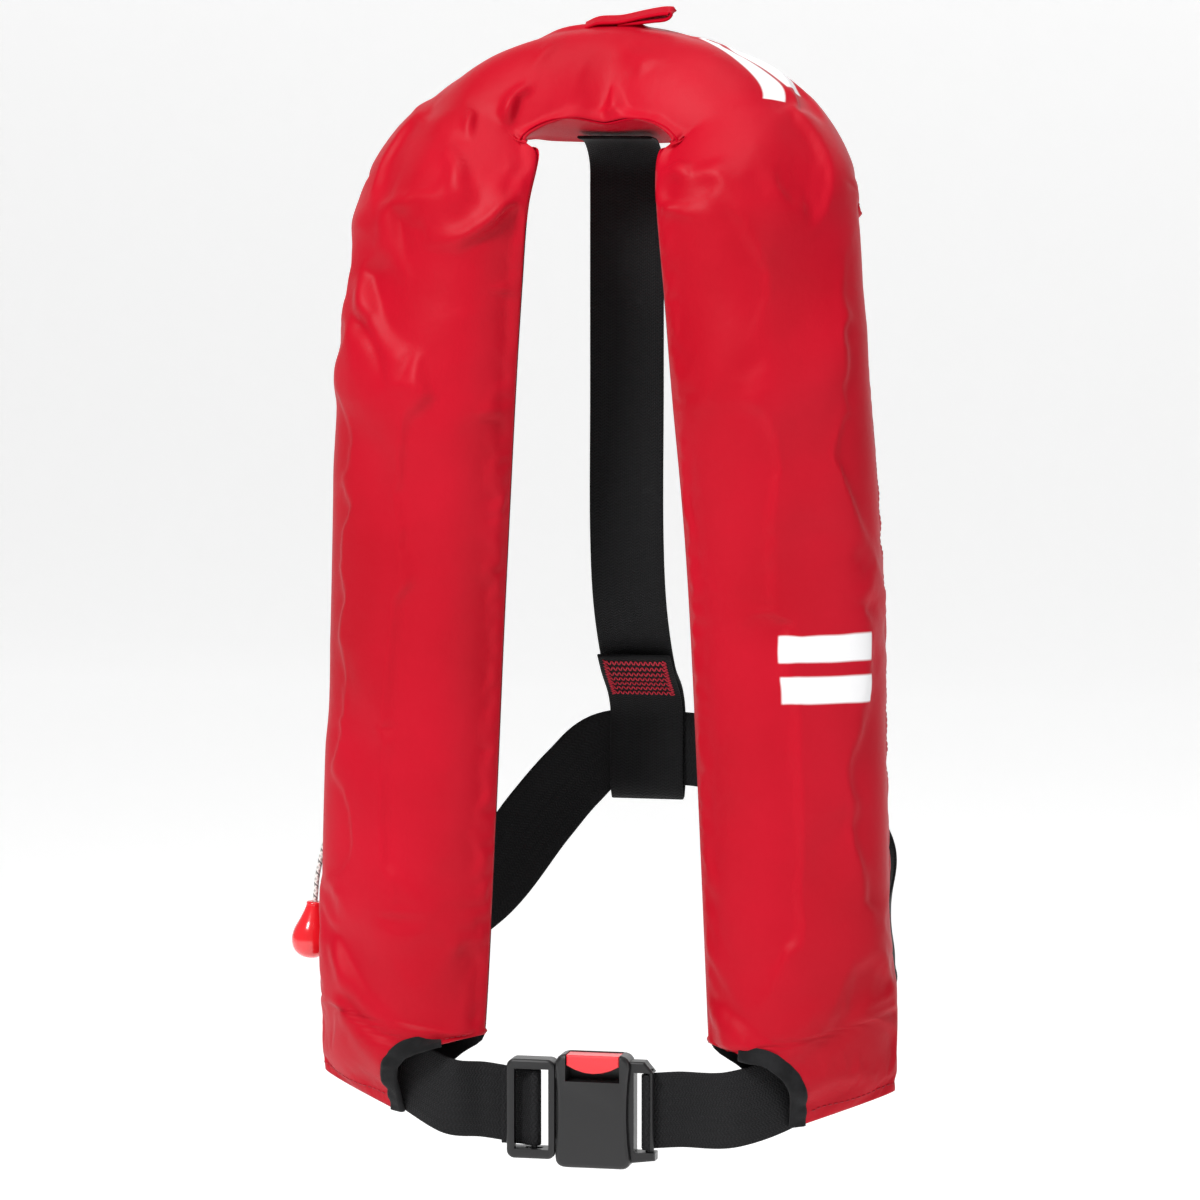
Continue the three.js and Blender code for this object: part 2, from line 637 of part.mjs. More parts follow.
function cordAlong(points, diameter, steps, sides = 8) {
  const section = new THREE.Shape();
  for (let i = 0; i < sides; i++) {
    const a = (i / sides) * 2 * Math.PI;
    const [x, y] = [(Math.cos(a) * diameter) / 2, (Math.sin(a) * diameter) / 2];
    if (i === 0) section.moveTo(x, y);
    else section.lineTo(x, y);
  }
  section.closePath();
  const path = new THREE.CatmullRomCurve3(points, false, "centripetal");
  return new THREE.ExtrudeGeometry(section, { extrudePath: path, steps, bevelEnabled: false });
}
const lanyard = cordAlong([
  vector(whistleX, tubeFloor + 1.4, whistleZ + 16), vector(whistleX, tubeFloor + 6, whistleZ + 16),
  vector(whistleX, tubeFloor + 11, whistleZ + 16.5), vector(whistleX - 2, tubeFloor + 12, whistleZ + 26),
  vector(tubeX + 2, tubeFloor + 6, -23), vector(tubeX, tubeFloor + 3.6, -17.5),
], 2, 16, 6);
add("whistle_cord", lanyard, looks.whiteCord, left.frame);

// ---- Pull cord and handle ---------------------------------------------------------------
// The cord leaves the lever's eye, comes out through the slit and hangs beside the lobe.
const handleTilt = 6; // degrees
const cordHang = 56; // from the slit down to the handle
function outside(beyond, rise, z) {
  const band = bandAt(numberAt(-1, z));
  return bandPoint(band, band.half + beyond, rise - band.thick).setZ(z);
}
const eyeFrame = right.frame.matrixWorld;
const atEye = (x, y) => vector(leverEye.x + x, bodyMid + y, leverEye.z).applyMatrix4(eyeFrame);
const tilt = THREE.MathUtils.degToRad(handleTilt);
const tiltUp = vector(Math.sin(tilt), 0, Math.cos(tilt));
const cordEnd = outside(15, 9, slitZ - cordHang);
const cordRoute = [
  atEye(0, 4.6), atEye(0, 0), atEye(0, -4), atEye(4, -6.6),
  outside(-6, 6.8, slitZ + 4), outside(3, 4.6, slitZ + 2), outside(7.4, 5.6, slitZ - 8),
  cordEnd.clone().addScaledVector(tiltUp, 20), cordEnd.clone().addScaledVector(tiltUp, 10), cordEnd,
];
add("pull_cord", cordAlong(cordRoute, cordDiameter, 32), looks.whiteCord);

function pullHandle() {
  const r = handleDiameter / 2;
  const bore = cordDiameter / 2 + gap;
  const profile = [
    [0, -handleLength], [r * 0.45, -handleLength + 0.6], [r * 0.8, -handleLength + 3.4],
    [r, -handleLength + 8.6], [r * 0.94, -handleLength + 14], [r * 0.62, -handleLength + 21],
    [r * 0.42, -2], [r * 0.34, 0], [bore, 0], [bore, -9], [0, -9],
  ];
  return turned(profile, 24).translate(0, 0, 6).rotateY(tilt).translate(cordEnd.x, cordEnd.y, cordEnd.z);
}
add("pull_handle", pullHandle(), looks.redPlastic);

// The black flap the cord comes out under, sewn along the slit.
const flapBands = [];
for (let k = 0; k <= 8; k++) flapBands.push(bandAt(numberAt(-1, slitZ + 20 - 9 * k)));
function cordFlap() {
  const across = (b, stops) => stops.map(([q, h]) => bandPoint(b, b.half + q, h - b.thick));
  const rows = flapBands.map((b) => ({
    top: across(b, [[-12, -2.3], [1, -2.3], [3.4, -0.6]]),
    bottom: across(b, [[-12, -3.3], [1.4, -3.3], [4.3, -1.1]]),
  }));
  return sheetSolid(rows);
}
add("cord_exit_flap", cordFlap(), looks.blackFabric);

// ---- Bindings round the belt's two mouths, and the loop it hangs up by -----------------------
const bindingRadius = 1.8;
function binding(side) {
  const points = bands
    .filter((b) => b.aboveHem < mouthHeight && (b.number < lastStop / 2) === side > 0)
    .map((b) => {
      const q = mouthEdge(b);
      return bandPoint(b, q - bindingRadius - 0.5, crown(b, angleAt(b, q)).h + 0.6);
    });
  return cordAlong(points, 2 * bindingRadius, 14);
}
add("mouth_binding_left", binding(1), looks.blackFabric);
add("mouth_binding_right", binding(-1), looks.blackFabric);

const loopWidth = 11;
const loopRise = 8; // the gap under its middle
const loopReach = 0.44; // either side of the nape, in stop numbers
function ridge(band) {
  let top = bandPoint(band, 0, 0);
  for (let degrees = 30; degrees <= 150; degrees += 3) {
    const { q, h } = crown(band, THREE.MathUtils.degToRad(degrees));
    const at = bandPoint(band, q, h);
    if (at.z > top.z) top = at;
  }
  return top;
}
function hangLoop() {
  const route = [];
  for (let k = -4; k <= 4; k++) {
    const at = ridge(bandAt(lastStop / 2 + (loopReach * k) / 4));
    at.z += gap + 0.8 + (loopRise + 1) * (1 - (k / 4) ** 2);
    route.push({ at, up: vector(0, 1, 0) });
  }
  return strap(route, loopWidth, 1.4, 20);
}
add("hang_loop", hangLoop(), looks.redFabric);

// ---- Back strap, sewn under the collar and folded round the waist belt ---------------------
const beltBackZ = hemZ + beltBackAboveHem;
const sewnGap = 1.3; // the collar curves away under the flat strap
const sewn = (q) => napeOut.clone().multiplyScalar(q)
  .addScaledVector(napeUp, -seamGap - panelWall - sewnGap - webbingThickness / 2);
const foldGap = webbingThickness + 2;
const loopRoute = [
  sewn(-8), sewn(10), vector(0, strapY - 1, -16), vector(0, strapY, -30), vector(0, strapY, -50),
  vector(0, strapY, -130), vector(0, strapY, -205),
  vector(0, strapY + 8, beltBackZ + 78), vector(0, beltBackY - 24, beltBackZ + 45),
  vector(0, beltBackY - 4, beltBackZ + 31), vector(0, beltBackY + foldGap - 0.4, beltBackZ + 20),
  vector(0, beltBackY + foldGap, beltBackZ), vector(0, beltBackY + foldGap, beltBackZ - webHalf - 2),
  vector(0, beltBackY, beltBackZ - webHalf - 8), vector(0, beltBackY - foldGap, beltBackZ - webHalf - 2),
  vector(0, beltBackY - foldGap, beltBackZ), vector(0, beltBackY - foldGap - 0.4, beltBackZ + 18),
  vector(0, beltBackY - 9, beltBackZ + 27), vector(0, beltBackY - 27.4, beltBackZ + 41.6),
  vector(0, beltBackY - 37, beltBackZ + 51),
].map((at) => ({ at, up: vector(1, 0, 0) }));
add("back_strap", strap(loopRoute, webbing, webbingThickness, 72), looks.webbing);

// ---- Buckle ---------------------------------------------------------------------------------
const buckleZ = hemZ + 5;
const buckleY = chestY - 16;
const housingX0 = -17;
const housingX1 = housingX0 + housingWidth + 1;
const housingHalf = 28.5;
const barRadius = 2.2;
const barX = housingX1 + 8.6;
const y0 = buckleY - buckleThickness / 2;
const y1 = buckleY + buckleThickness / 2;
const bladeHalf = 15;
const bladeThickness = 5;
const buttonHalf = 13.4;

function housingOutline() {
  const s = new THREE.Shape();
  s.moveTo(housingX0, -housingHalf + 5);
  s.quadraticCurveTo(housingX0, -housingHalf, housingX0 + 6, -housingHalf);
  s.lineTo(housingX1 - 5, -housingHalf);
  s.quadraticCurveTo(housingX1, -housingHalf, housingX1, -housingHalf + 5);
  s.quadraticCurveTo(housingX1 - 3, 0, housingX1, housingHalf - 6);
  s.quadraticCurveTo(housingX1, housingHalf, housingX1 - 6, housingHalf);
  s.lineTo(housingX0 + 6, housingHalf);
  s.quadraticCurveTo(housingX0, housingHalf, housingX0, housingHalf - 6);
  s.quadraticCurveTo(housingX0 + 2.5, 0, housingX0, -housingHalf + 5);
  return s;
}
function sideFrame() {
  const s = new THREE.Shape();
  s.moveTo(housingX1 - 4, -26);
  s.lineTo(barX + 3.4, -24);
  s.lineTo(barX + 3.4, 19);
  s.lineTo(barX - 2, 25.5);
  s.lineTo(housingX1 - 4, 25.5);
  s.closePath();
  return carve(
    plate(s, y0 + 3, y1 - 3, 1),
    block(housingX1 + 1.4, y0 - 5, -webHalf - 1, barX + 9, y1 + 5, webHalf + 1));
}
function buckleHousing() {
  const bar = rod("z", barRadius, -webHalf - 3, webHalf + 3, vector(barX, buckleY, 0), 16);
  const body = join(plate(housingOutline(), y0, y1, 1.8), sideFrame(), bar);
  const throat = block(housingX0 - 5, buckleY - bladeThickness / 2 - gap, -bladeHalf - gap,
    housingX1 - 6, buckleY + bladeThickness / 2 + gap, bladeHalf + gap);
  const buttonX0 = (housingX0 + housingX1) / 2 - buttonHalf;
  const pocket = block(buttonX0 - gap, y0 - 5, housingHalf - 10 - buttonTravel,
    buttonX0 + 2 * buttonHalf + gap, y1 - buckleWall * 2, housingHalf + 5);
  return carve(body, throat, pocket).translate(0, 0, buckleZ);
}
add("buckle_housing", buckleHousing(), looks.blackPlastic);

function buckleButton() {
  const mid = (housingX0 + housingX1) / 2;
  const s = new THREE.Shape();
  const low = housingHalf - 9.6;
  s.moveTo(mid - buttonHalf, low + 4);
  s.quadraticCurveTo(mid, low - 4, mid + buttonHalf, low + 4);
  s.lineTo(mid + buttonHalf, housingHalf - 0.4);
  s.lineTo(mid - buttonHalf, housingHalf - 0.4);
  s.closePath();
  return plate(s, y0 + 0.8, y1 - buckleWall * 2 - gap, 0.8).translate(0, 0, buckleZ);
}
add("buckle_button", buckleButton(), looks.redPlastic);

const frameX0 = housingX0 - 25;
const adjusterX = frameX0 + 13;
const frameSlotX0 = frameX0 + 4;
const frameSlotX1 = housingX0 - 3.6;
function buckleTongue() {
  const slotHeight = webHalf + 1.2;
  const border = plate(roundedRectangle(frameX0, -25, housingX0 - gap, 25, 4), y0 + 1.5, y1 - 1.5, 1.2);
  const blade = block(housingX0 - 4, buckleY - bladeThickness / 2, -bladeHalf,
    housingX1 - 6 - gap, buckleY + bladeThickness / 2, bladeHalf);
  const notch = rod("y", 6, y0 - 5, y1 + 5, vector(housingX1 - 15, 0, 0));
  const opening = block(frameSlotX0, y0 - 5, -slotHeight, frameSlotX1, y1 + 5, slotHeight);
  const under = block(frameX0 - 5, buckleY - 1.6, -slotHeight, frameSlotX0 + 1, y1 + 5, slotHeight);
  const guideHeight = slotHeight + 2.6;
  const guides = block(
    adjusterX - 4.4, buckleY - 1.9, -guideHeight, adjusterX + 4.4, buckleY + 1.9, guideHeight);
  return carve(join(border, blade), notch, opening, under, guides).translate(0, 0, buckleZ);
}
add("buckle_tongue", buckleTongue(), looks.blackPlastic);
const adjusterHalf = webHalf + 3.2;
const adjusterBar = rod("z", 1.6, -adjusterHalf, adjusterHalf, vector(adjusterX, buckleY, buckleZ), 16);
add("adjuster_bar", adjusterBar, looks.blackPlastic);

// ---- Waist belt --------------------------------------------------------------------------
const upright = vector(0, 0, 1);
function beltSlotPoint(side, lift) {
  const band = bandAt(numberAt(side, beltSlotZ));
  const at = bandPoint(band, (beltSlotIn + beltSlotOut) / 2, lift - band.thick);
  return at.setZ(beltSlotZ);
}
function insideLobe(side, q, h, z) {
  return bandPoint(bandAt(numberAt(side, Math.max(z, hemZ + 6))), q, h).setZ(z);
}
function wrap(x, radius, from, to, turns) {
  const made = [];
  for (let i = 0; i <= turns; i++) {
    const a = THREE.MathUtils.degToRad(from + ((to - from) * i) / turns);
    made.push(vector(x + radius * Math.cos(a), buckleY + radius * Math.sin(a), buckleZ));
  }
  return made;
}
const housingLoop = barRadius + gap + webbingThickness / 2 + 0.2;
const beltRoute = [
  ...wrap(barX, housingLoop, -80, -280, 8),
  vector(barX + 14, buckleY + 4.2, buckleZ + 1), insideLobe(1, -38, 0, buckleZ + 3),
  insideLobe(1, -8, -0.6, hemZ + 18), insideLobe(1, 18, -6, hemZ + 40),
  beltSlotPoint(1, 1), beltSlotPoint(1, -10),
  vector(134, 16, beltSlotZ + 24), vector(129, 42, beltSlotZ + 57), vector(96, 66, beltBackZ - 26),
  vector(46, 75, beltBackZ - 5),
  vector(22, beltBackY, beltBackZ - 1), vector(-22, beltBackY, beltBackZ - 2),
  vector(-38, 71, beltBackZ - 16), vector(-54, 61, beltBackZ - 36),
  vector(-78, 42, beltSlotZ + 45), vector(-110, 16, beltSlotZ + 19),
  beltSlotPoint(-1, -10), beltSlotPoint(-1, 1), insideLobe(-1, 18, -6, hemZ + 40),
];
const twistStart = 21; // the stop where the belt starts to turn over on its way down
const twist = [
  vector(-0.2, 0, 1), vector(-0.6, 0, 0.8), vector(-0.7, 0, 0.7), vector(-0.6, 0, 0.8), vector(-0.3, 0, 0.95),
];
const waistBelt = strap(
  beltRoute.map((at, i) => ({ at, up: twist[i - twistStart] ?? upright })),
  webbing, webbingThickness, 96);
add("waist_belt", waistBelt, looks.webbing);

const adjusterLoop = 1.6 + gap + webbingThickness / 2 + 0.2;
const frontRoute = [
  insideLobe(-1, 0, -0.8, hemZ + 22), insideLobe(-1, -38, 0, buckleZ + 4),
  vector(frameX0 - 14, buckleY + 5, buckleZ + 2), vector(frameX0 + 4, buckleY + 4.6, buckleZ),
  ...wrap(adjusterX, adjusterLoop, 80, -80, 8),
  vector(frameX0 + 5, buckleY + 1.6, buckleZ), vector(frameX0 - 4, buckleY + 2, buckleZ),
];
add("front_belt", strap(frontRoute.map((at) => ({ at, up: upright })), webbing, webbingThickness, 44),
  looks.webbing);

export default jacket;
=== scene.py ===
# %% [markdown]
# # An inflatable life jacket, folded and closed
# The hard parts (buckle, inflator, oral tube) arrive as a fixed frame from the CAD model. What is soft on
# the real object - cover, lining, webbing, bindings, cord, thread - and the pull handle are made here, in
# the same place and size.

import math

import bpy
import numpy as np
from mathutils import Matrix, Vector


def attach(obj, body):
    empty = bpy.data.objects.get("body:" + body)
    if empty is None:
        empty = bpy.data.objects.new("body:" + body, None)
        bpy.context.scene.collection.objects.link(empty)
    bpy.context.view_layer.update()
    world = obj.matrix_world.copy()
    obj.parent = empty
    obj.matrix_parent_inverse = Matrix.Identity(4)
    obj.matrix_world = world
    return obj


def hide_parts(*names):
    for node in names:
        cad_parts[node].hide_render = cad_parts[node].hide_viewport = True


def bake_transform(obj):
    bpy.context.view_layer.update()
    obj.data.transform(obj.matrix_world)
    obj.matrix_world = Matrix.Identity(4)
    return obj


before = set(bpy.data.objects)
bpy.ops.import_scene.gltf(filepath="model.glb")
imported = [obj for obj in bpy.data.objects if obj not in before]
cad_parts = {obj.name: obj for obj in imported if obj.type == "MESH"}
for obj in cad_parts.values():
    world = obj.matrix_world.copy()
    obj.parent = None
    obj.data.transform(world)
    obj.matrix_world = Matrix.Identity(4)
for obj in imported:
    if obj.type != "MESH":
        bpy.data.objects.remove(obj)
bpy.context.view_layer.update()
MM = 0.001

# %% [markdown]
# ## The camera and the studio
# A long lens from three metres away keeps the two lobes nearly the same size. It stands a little to the
# wearer's left and a little above, so the back strap shows between the lobes.

# %% Camera, floor and lights
CAMERA_AZIMUTH = math.radians(12)
CAMERA_ELEVATION = math.radians(6)
CAMERA_DISTANCE = 3.0
FRAME_HEIGHT = 0.600  # metres of the object's plane that the picture holds
LOOK_AT = Vector((-0.006, -0.015, -0.233))


def add_camera():
    data = bpy.data.cameras.new("camera")
    data.sensor_width = 36
    data.lens = data.sensor_width * CAMERA_DISTANCE / FRAME_HEIGHT
    camera = bpy.data.objects.new("camera", data)
    bpy.context.collection.objects.link(camera)
    level = math.cos(CAMERA_ELEVATION)
    aside, ahead = math.sin(CAMERA_AZIMUTH) * level, math.cos(CAMERA_AZIMUTH) * level
    back = Vector((aside, -ahead, math.sin(CAMERA_ELEVATION)))
    camera.location = LOOK_AT + back * CAMERA_DISTANCE
    camera.rotation_mode = "QUATERNION"
    camera.rotation_quaternion = (-back).to_track_quat("-Z", "Y")
    bpy.context.scene.camera = camera
    return camera


def add_area(name, place, aim, size, power, colour=(1, 1, 1)):
    data = bpy.data.lights.new(name, "AREA")
    data.shape = "RECTANGLE"
    data.size, data.size_y = size
    data.energy = power
    data.color = colour
    light = bpy.data.objects.new(name, data)
    light.location = place
    light.rotation_mode = "QUATERNION"
    light.rotation_quaternion = (Vector(aim) - Vector(place)).to_track_quat("-Z", "Y")
    bpy.context.collection.objects.link(light)
    return light


camera = add_camera()
middle = (0, 0, -0.22)
add_area("key_light", (-0.8, -1.6, 1.4), middle, (0.5, 0.6), 50)
add_area("fill_light", (1.7, -1.5, 0.3), middle, (1.0, 1.6), 9)
add_area("top_light", (0.2, -0.3, 1.7), middle, (1.2, 0.9), 14)
add_area("back_light", (0.3, 2.2, 1.2), middle, (1.6, 1.4), 5)
world = bpy.data.worlds.new("studio")
bpy.context.scene.world = world
bpy.context.scene.view_settings.view_transform = "Standard"
world.use_nodes = True
world.node_tree.nodes["Background"].inputs[0].default_value = (1, 1, 1, 1)
world.node_tree.nodes["Background"].inputs[1].default_value = 0.24
print("camera lens", round(camera.data.lens, 1), "mm")

# %% [markdown]
# ## Writing materials as sums
# Node trees are hard to read as lists of links. A small class wraps a socket so that ordinary sums
# build the Math nodes, and one method makes any other node from its type, settings and inputs.

# %% A shader board
class Wire:
    """A number that varies over a surface."""

    def __init__(self, board, socket):
        self.board, self.socket = board, socket

    def math(self, operation, *values, clamp=False):
        node = self.board.tree.nodes.new("ShaderNodeMath")
        node.operation = operation
        node.use_clamp = clamp
        for slot, value in zip(node.inputs, values):
            self.board.feed(slot, value)
        return Wire(self.board, node.outputs[0])

    def __add__(self, other):
        return self.math("ADD", self, other)

    def __sub__(self, other):
        return self.math("SUBTRACT", self, other)

    def __mul__(self, other):
        return self.math("MULTIPLY", self, other)

    def __truediv__(self, other):
        return self.math("DIVIDE", self, other)

    def __rsub__(self, other):
        return self.math("SUBTRACT", other, self)

    def __neg__(self):
        return self.math("MULTIPLY", self, -1)

    __radd__ = __add__
    __rmul__ = __mul__

    def sin(self):
        return self.math("SINE", self)

    def abs(self):
        return self.math("ABSOLUTE", self)

    def power(self, exponent):
        return self.math("POWER", self, exponent)

    def most(self, other):
        return self.math("MAXIMUM", self, other)

    def ramp(self, low, high):
        """0 below low and 1 above high."""
        return self.math("DIVIDE", self - low, high - low, clamp=True)


class Board:
    """One material and its nodes."""

    def __init__(self, name):
        self.material = bpy.data.materials.new(name)
        self.material.use_nodes = True
        self.tree = self.material.node_tree
        self.skin = self.tree.nodes["Principled BSDF"]

    def feed(self, slot, value):
        if isinstance(value, Wire):
            self.tree.links.new(value.socket, slot)
        elif isinstance(value, bpy.types.NodeSocket):
            self.tree.links.new(value, slot)
        else:
            slot.default_value = value

    def node(self, kind, settings=None, inputs=None, out=0):
        made = self.tree.nodes.new(kind)
        for key, value in (settings or {}).items():
            setattr(made, key, value)
        for key, value in (inputs or {}).items():
            self.feed(made.inputs[key], value)
        return Wire(self, made.outputs[out])

    def colour(self, factor, a, b, blend="MIX"):
        made = self.tree.nodes.new("ShaderNodeMix")
        made.data_type = "RGBA"
        made.blend_type = blend
        self.feed(made.inputs[0], factor)
        self.feed(made.inputs[6], a)
        self.feed(made.inputs[7], b)
        return Wire(self, made.outputs[2])

    def place(self):
        return self.node("ShaderNodeTexCoord", out="Object")

    def cloth(self):
        """How far along and across the cloth a point lies, in metres."""
        spot = self.node("ShaderNodeUVMap", {"uv_map": "cloth"})
        parts = self.tree.nodes.new("ShaderNodeSeparateXYZ")
        self.feed(parts.inputs[0], spot)
        return Wire(self, parts.outputs[0]), Wire(self, parts.outputs[1])

    def noise(self, scale, detail=3, rough=0.5, at=None, out=0, **more):
        inputs = {"Scale": scale, "Detail": detail, "Roughness": rough, **more}
        inputs["Vector"] = at or self.place()
        return self.node("ShaderNodeTexNoise", None, inputs, out)

    def bump(self, height, strength, distance, normal=None):
        inputs = {"Height": height, "Strength": strength, "Distance": distance}
        if normal is not None:
            inputs["Normal"] = normal
        return self.node("ShaderNodeBump", None, inputs)

    def finish(self, **values):
        for key, value in values.items():
            self.feed(self.skin.inputs[key.replace("_", " ")], value)
        return self.material


def rgba(r, g, b):
    return (r, g, b, 1)


# %% [markdown]
# ## The red cloth
# The cover is nylon coated on its inner side: a fine plain weave with a soft satin sheen that comes
# alive where it creases. Printed marks lie on it as flat white ink, so they are masks in the colour.

# %% Red cloth
WEAVE = 0.00055  # metres from thread to thread


def coated_red(name, marks=None, gloss=0.14, sheen=0.03):
    board = Board(name)
    along, across = board.cloth()
    turn = 2 * math.pi / WEAVE
    warp = (along * turn).sin()
    weft = (across * turn).sin()
    weave = warp * weft
    cloudy = board.noise(9, 4, 0.55)
    crumple = board.noise(34, 6, 0.62)
    patchy = cloudy.ramp(0.35, 0.7)
    base = board.colour(patchy, rgba(0.42, 0.0012, 0.011), rgba(0.52, 0.0020, 0.017))
    base = board.colour(weave.ramp(-1, 1) * 0.14, base, rgba(0.30, 0.001, 0.008))
    rough = 0.40 + cloudy * 0.12
    if marks:
        ink = marks(board, along, across)
        base = board.colour(ink, base, rgba(0.86, 0.86, 0.87))
        rough = rough + ink * 0.12
    soft = board.bump(crumple, 0.16, 0.004)
    fine = board.bump(weave, 0.16, 0.00012, soft)
    board.skin.inputs["Sheen Weight"].default_value = sheen
    board.skin.inputs["Sheen Roughness"].default_value = 0.4
    board.skin.inputs["Sheen Tint"].default_value = rgba(1.0, 0.3, 0.35)
    board.skin.inputs["Specular IOR Level"].default_value = gloss
    return board.finish(Base_Color=base, Roughness=rough, Normal=fine)


# Plain printed shapes on the wearer's left lobe, by how far along and across the cloth they lie.
def bar(u, v, centre, turn, half_long, half_wide, edge=0.0006):
    """1 inside a slanted bar."""
    c, s = math.cos(turn), math.sin(turn)
    x = (u - centre[0]) * c + (v - centre[1]) * s
    y = (v - centre[1]) * c - (u - centre[0]) * s
    inside_x = 1 - x.abs().ramp(half_long - edge, half_long + edge)
    inside_y = 1 - y.abs().ramp(half_wide - edge, half_wide + edge)
    return inside_x * inside_y


print("red cloth ready, weave", WEAVE * 1000, "mm")

# %% [markdown]
# ## Black cloth, webbing and plastic
# Webbing is woven in heavy ribs along its length with a finer pick across. Bindings and the lining are
# a plainer black weave. The buckle is moulded acetal with a fine spark-eroded grain.

# %% Black finishes
def black_cloth(name, weave_size=0.0009, tint=(0.005, 0.005, 0.006)):
    board = Board(name)
    along, across = board.cloth()
    turn = 2 * math.pi / weave_size
    weave = (along * turn).sin() * (across * turn).sin()
    lint = board.noise(60, 5, 0.7)
    base = board.colour(lint.ramp(0.4, 0.75), rgba(*tint), rgba(*(3 * x + 0.004 for x in tint)))
    board.skin.inputs["Sheen Weight"].default_value = 0.04
    board.skin.inputs["Sheen Roughness"].default_value = 0.5
    board.skin.inputs["Specular IOR Level"].default_value = 0.2
    soft = board.bump(lint, 0.12, 0.002)
    woven = board.bump(weave, 0.35, 0.0002, soft)
    return board.finish(Base_Color=base, Roughness=0.78 + lint * 0.1, Normal=woven)


RIB = 0.0021  # metres from rib to rib
PICK = 0.0016


def webbing_black(name):
    board = Board(name)
    along, across = board.cloth()
    rib = (across * (2 * math.pi / RIB)).sin()
    half = (across * (math.pi / RIB)).sin().ramp(-0.02, 0.02)
    chevron = ((along + across * (half * 2 - 1) * 0.55) * (2 * math.pi / PICK)).sin()
    thread = rib.abs() * 0.55 + chevron * 0.45
    lint = board.noise(80, 5, 0.7)
    base = board.colour(thread.ramp(-0.5, 1), rgba(0.0015, 0.0015, 0.002), rgba(0.010, 0.010, 0.011))
    base = board.colour(lint.ramp(0.62, 0.8) * 0.35, base, rgba(0.028, 0.028, 0.030))
    board.skin.inputs["Sheen Weight"].default_value = 0.03
    board.skin.inputs["Sheen Roughness"].default_value = 0.45
    board.skin.inputs["Specular IOR Level"].default_value = 0.22
    ribbed = board.bump(thread, 0.55, 0.0004)
    return board.finish(Base_Color=base, Roughness=0.62 + lint * 0.14, Normal=ribbed)


def moulded(name, tint, rough=0.42, grain=0.08, coat=0.0, scale=900):
    board = Board(name)
    spark = board.noise(scale, 3, 0.6)
    cloud = board.noise(25, 3, 0.5)
    # Convex edges are painted lighter in colour: a painted highlight where rounded edges would catch the
    # light. They are also made a little glossier.
    edge_highlight = board.node("ShaderNodeNewGeometry", out="Pointiness").ramp(0.51, 0.58)
    base = board.colour(cloud.ramp(0.3, 0.8), rgba(*tint), rgba(*(x * 1.25 + 0.002 for x in tint)))
    base = board.colour(edge_highlight * 0.3, base, rgba(*(min(1, x * 1.8 + 0.03) for x in tint)))
    board.skin.inputs["Coat Roughness"].default_value = 0.12
    return board.finish(
        Base_Color=base, Roughness=rough + cloud * 0.10 - edge_highlight * 0.06, Coat_Weight=coat,
        Normal=board.bump(spark, grain, 0.0002))


def metal(name, tint, rough=0.3):
    board = Board(name)
    brushed = board.noise(300, 4, 0.6)
    stain = board.noise(40, 4, 0.6)
    base = board.colour(stain.ramp(0.4, 0.8) * 0.4, rgba(*tint), rgba(*(x * 0.6 for x in tint)))
    return board.finish(
        Base_Color=base, Metallic=1.0, Roughness=rough + brushed * 0.15,
        Normal=board.bump(brushed, 0.05, 0.0002))


def braid(name):
    """White braid with dark tracer threads, wound two ways round the cord."""
    board = Board(name)
    along, around = board.cloth()
    one = (along * (2 * math.pi / 0.0030) + around * 2).sin()
    other = (along * (2 * math.pi / 0.0030) - around * 2).sin()
    weave = one.most(other)
    fleck = (along * (2 * math.pi / 0.0060) + around).sin().ramp(0.86, 0.94)
    base = board.colour(weave.ramp(-0.6, 1), rgba(0.45, 0.43, 0.41), rgba(0.86, 0.84, 0.81))
    base = board.colour(fleck * 0.85, base, rgba(0.03, 0.03, 0.035))
    return board.finish(Base_Color=base, Roughness=0.7 + weave * 0.05, Normal=board.bump(weave, 0.6, 0.0003))


lining = black_cloth("lining_cloth", 0.0011)
binding_cloth = black_cloth("binding_cloth", 0.0007, (0.004, 0.004, 0.0045))
webbing = webbing_black("webbing")
red_cloth_plain = coated_red("red_cloth_plain", None, 0.02, 0.0)
buckle_plastic = moulded("buckle_plastic", (0.004, 0.004, 0.0045), 0.30, 0.10)
button_plastic = moulded("button_plastic", (0.72, 0.012, 0.02), 0.3, 0.05, 0.3)
handle_plastic = moulded("handle_plastic", (0.74, 0.010, 0.018), 0.16, 0.01, 0.8)
thread_red = moulded("red_thread", (0.55, 0.006, 0.03), 0.55, 0.3, 0.0, 3000)
thread_dark = moulded("dark_thread", (0.26, 0.002, 0.012), 0.6, 0.3, 0.0, 3000)
cord_braid = braid("cord_braid")
bladder_coating = moulded("bladder_coating", (0.80, 0.52, 0.03), 0.5, 0.2, 0.0, 2400)
print("finishes", len(bpy.data.materials))

# %% [markdown]
# ## The horseshoe
# Cover, lining and seams all follow one line: up the wearer's left lobe, round the neck, down the right.
# Each stop on it has a place, a half width, a half thickness and the direction across the cloth.

# %% The band that everything follows
HEM_Z = -487
CHEST_Y = -48
NECK_HALF_GAP = 48
HEM_HALF_GAP = 64
LOBE_HALF = 49
HEM_HALF = 46.5
DEEP = 20.6
NAPE_SLOPE = math.radians(10)
NAPE_THICK = 27
NAPE_HALF = 33
HEM_SLOPE = 0.31
CROWN_POWER = 0.72
NECK_SIDE_POWER = 0.92


def vec(*numbers):
    return np.array(numbers, float)


def unit(v):
    return v / np.linalg.norm(v)


def toe(degrees):
    a = math.radians(degrees)
    return vec(math.cos(a), math.sin(a), 0)


def stop(half_gap, y, z, half, thick, out):
    return (vec(half_gap + half * out[0], y, z), half, thick, out)


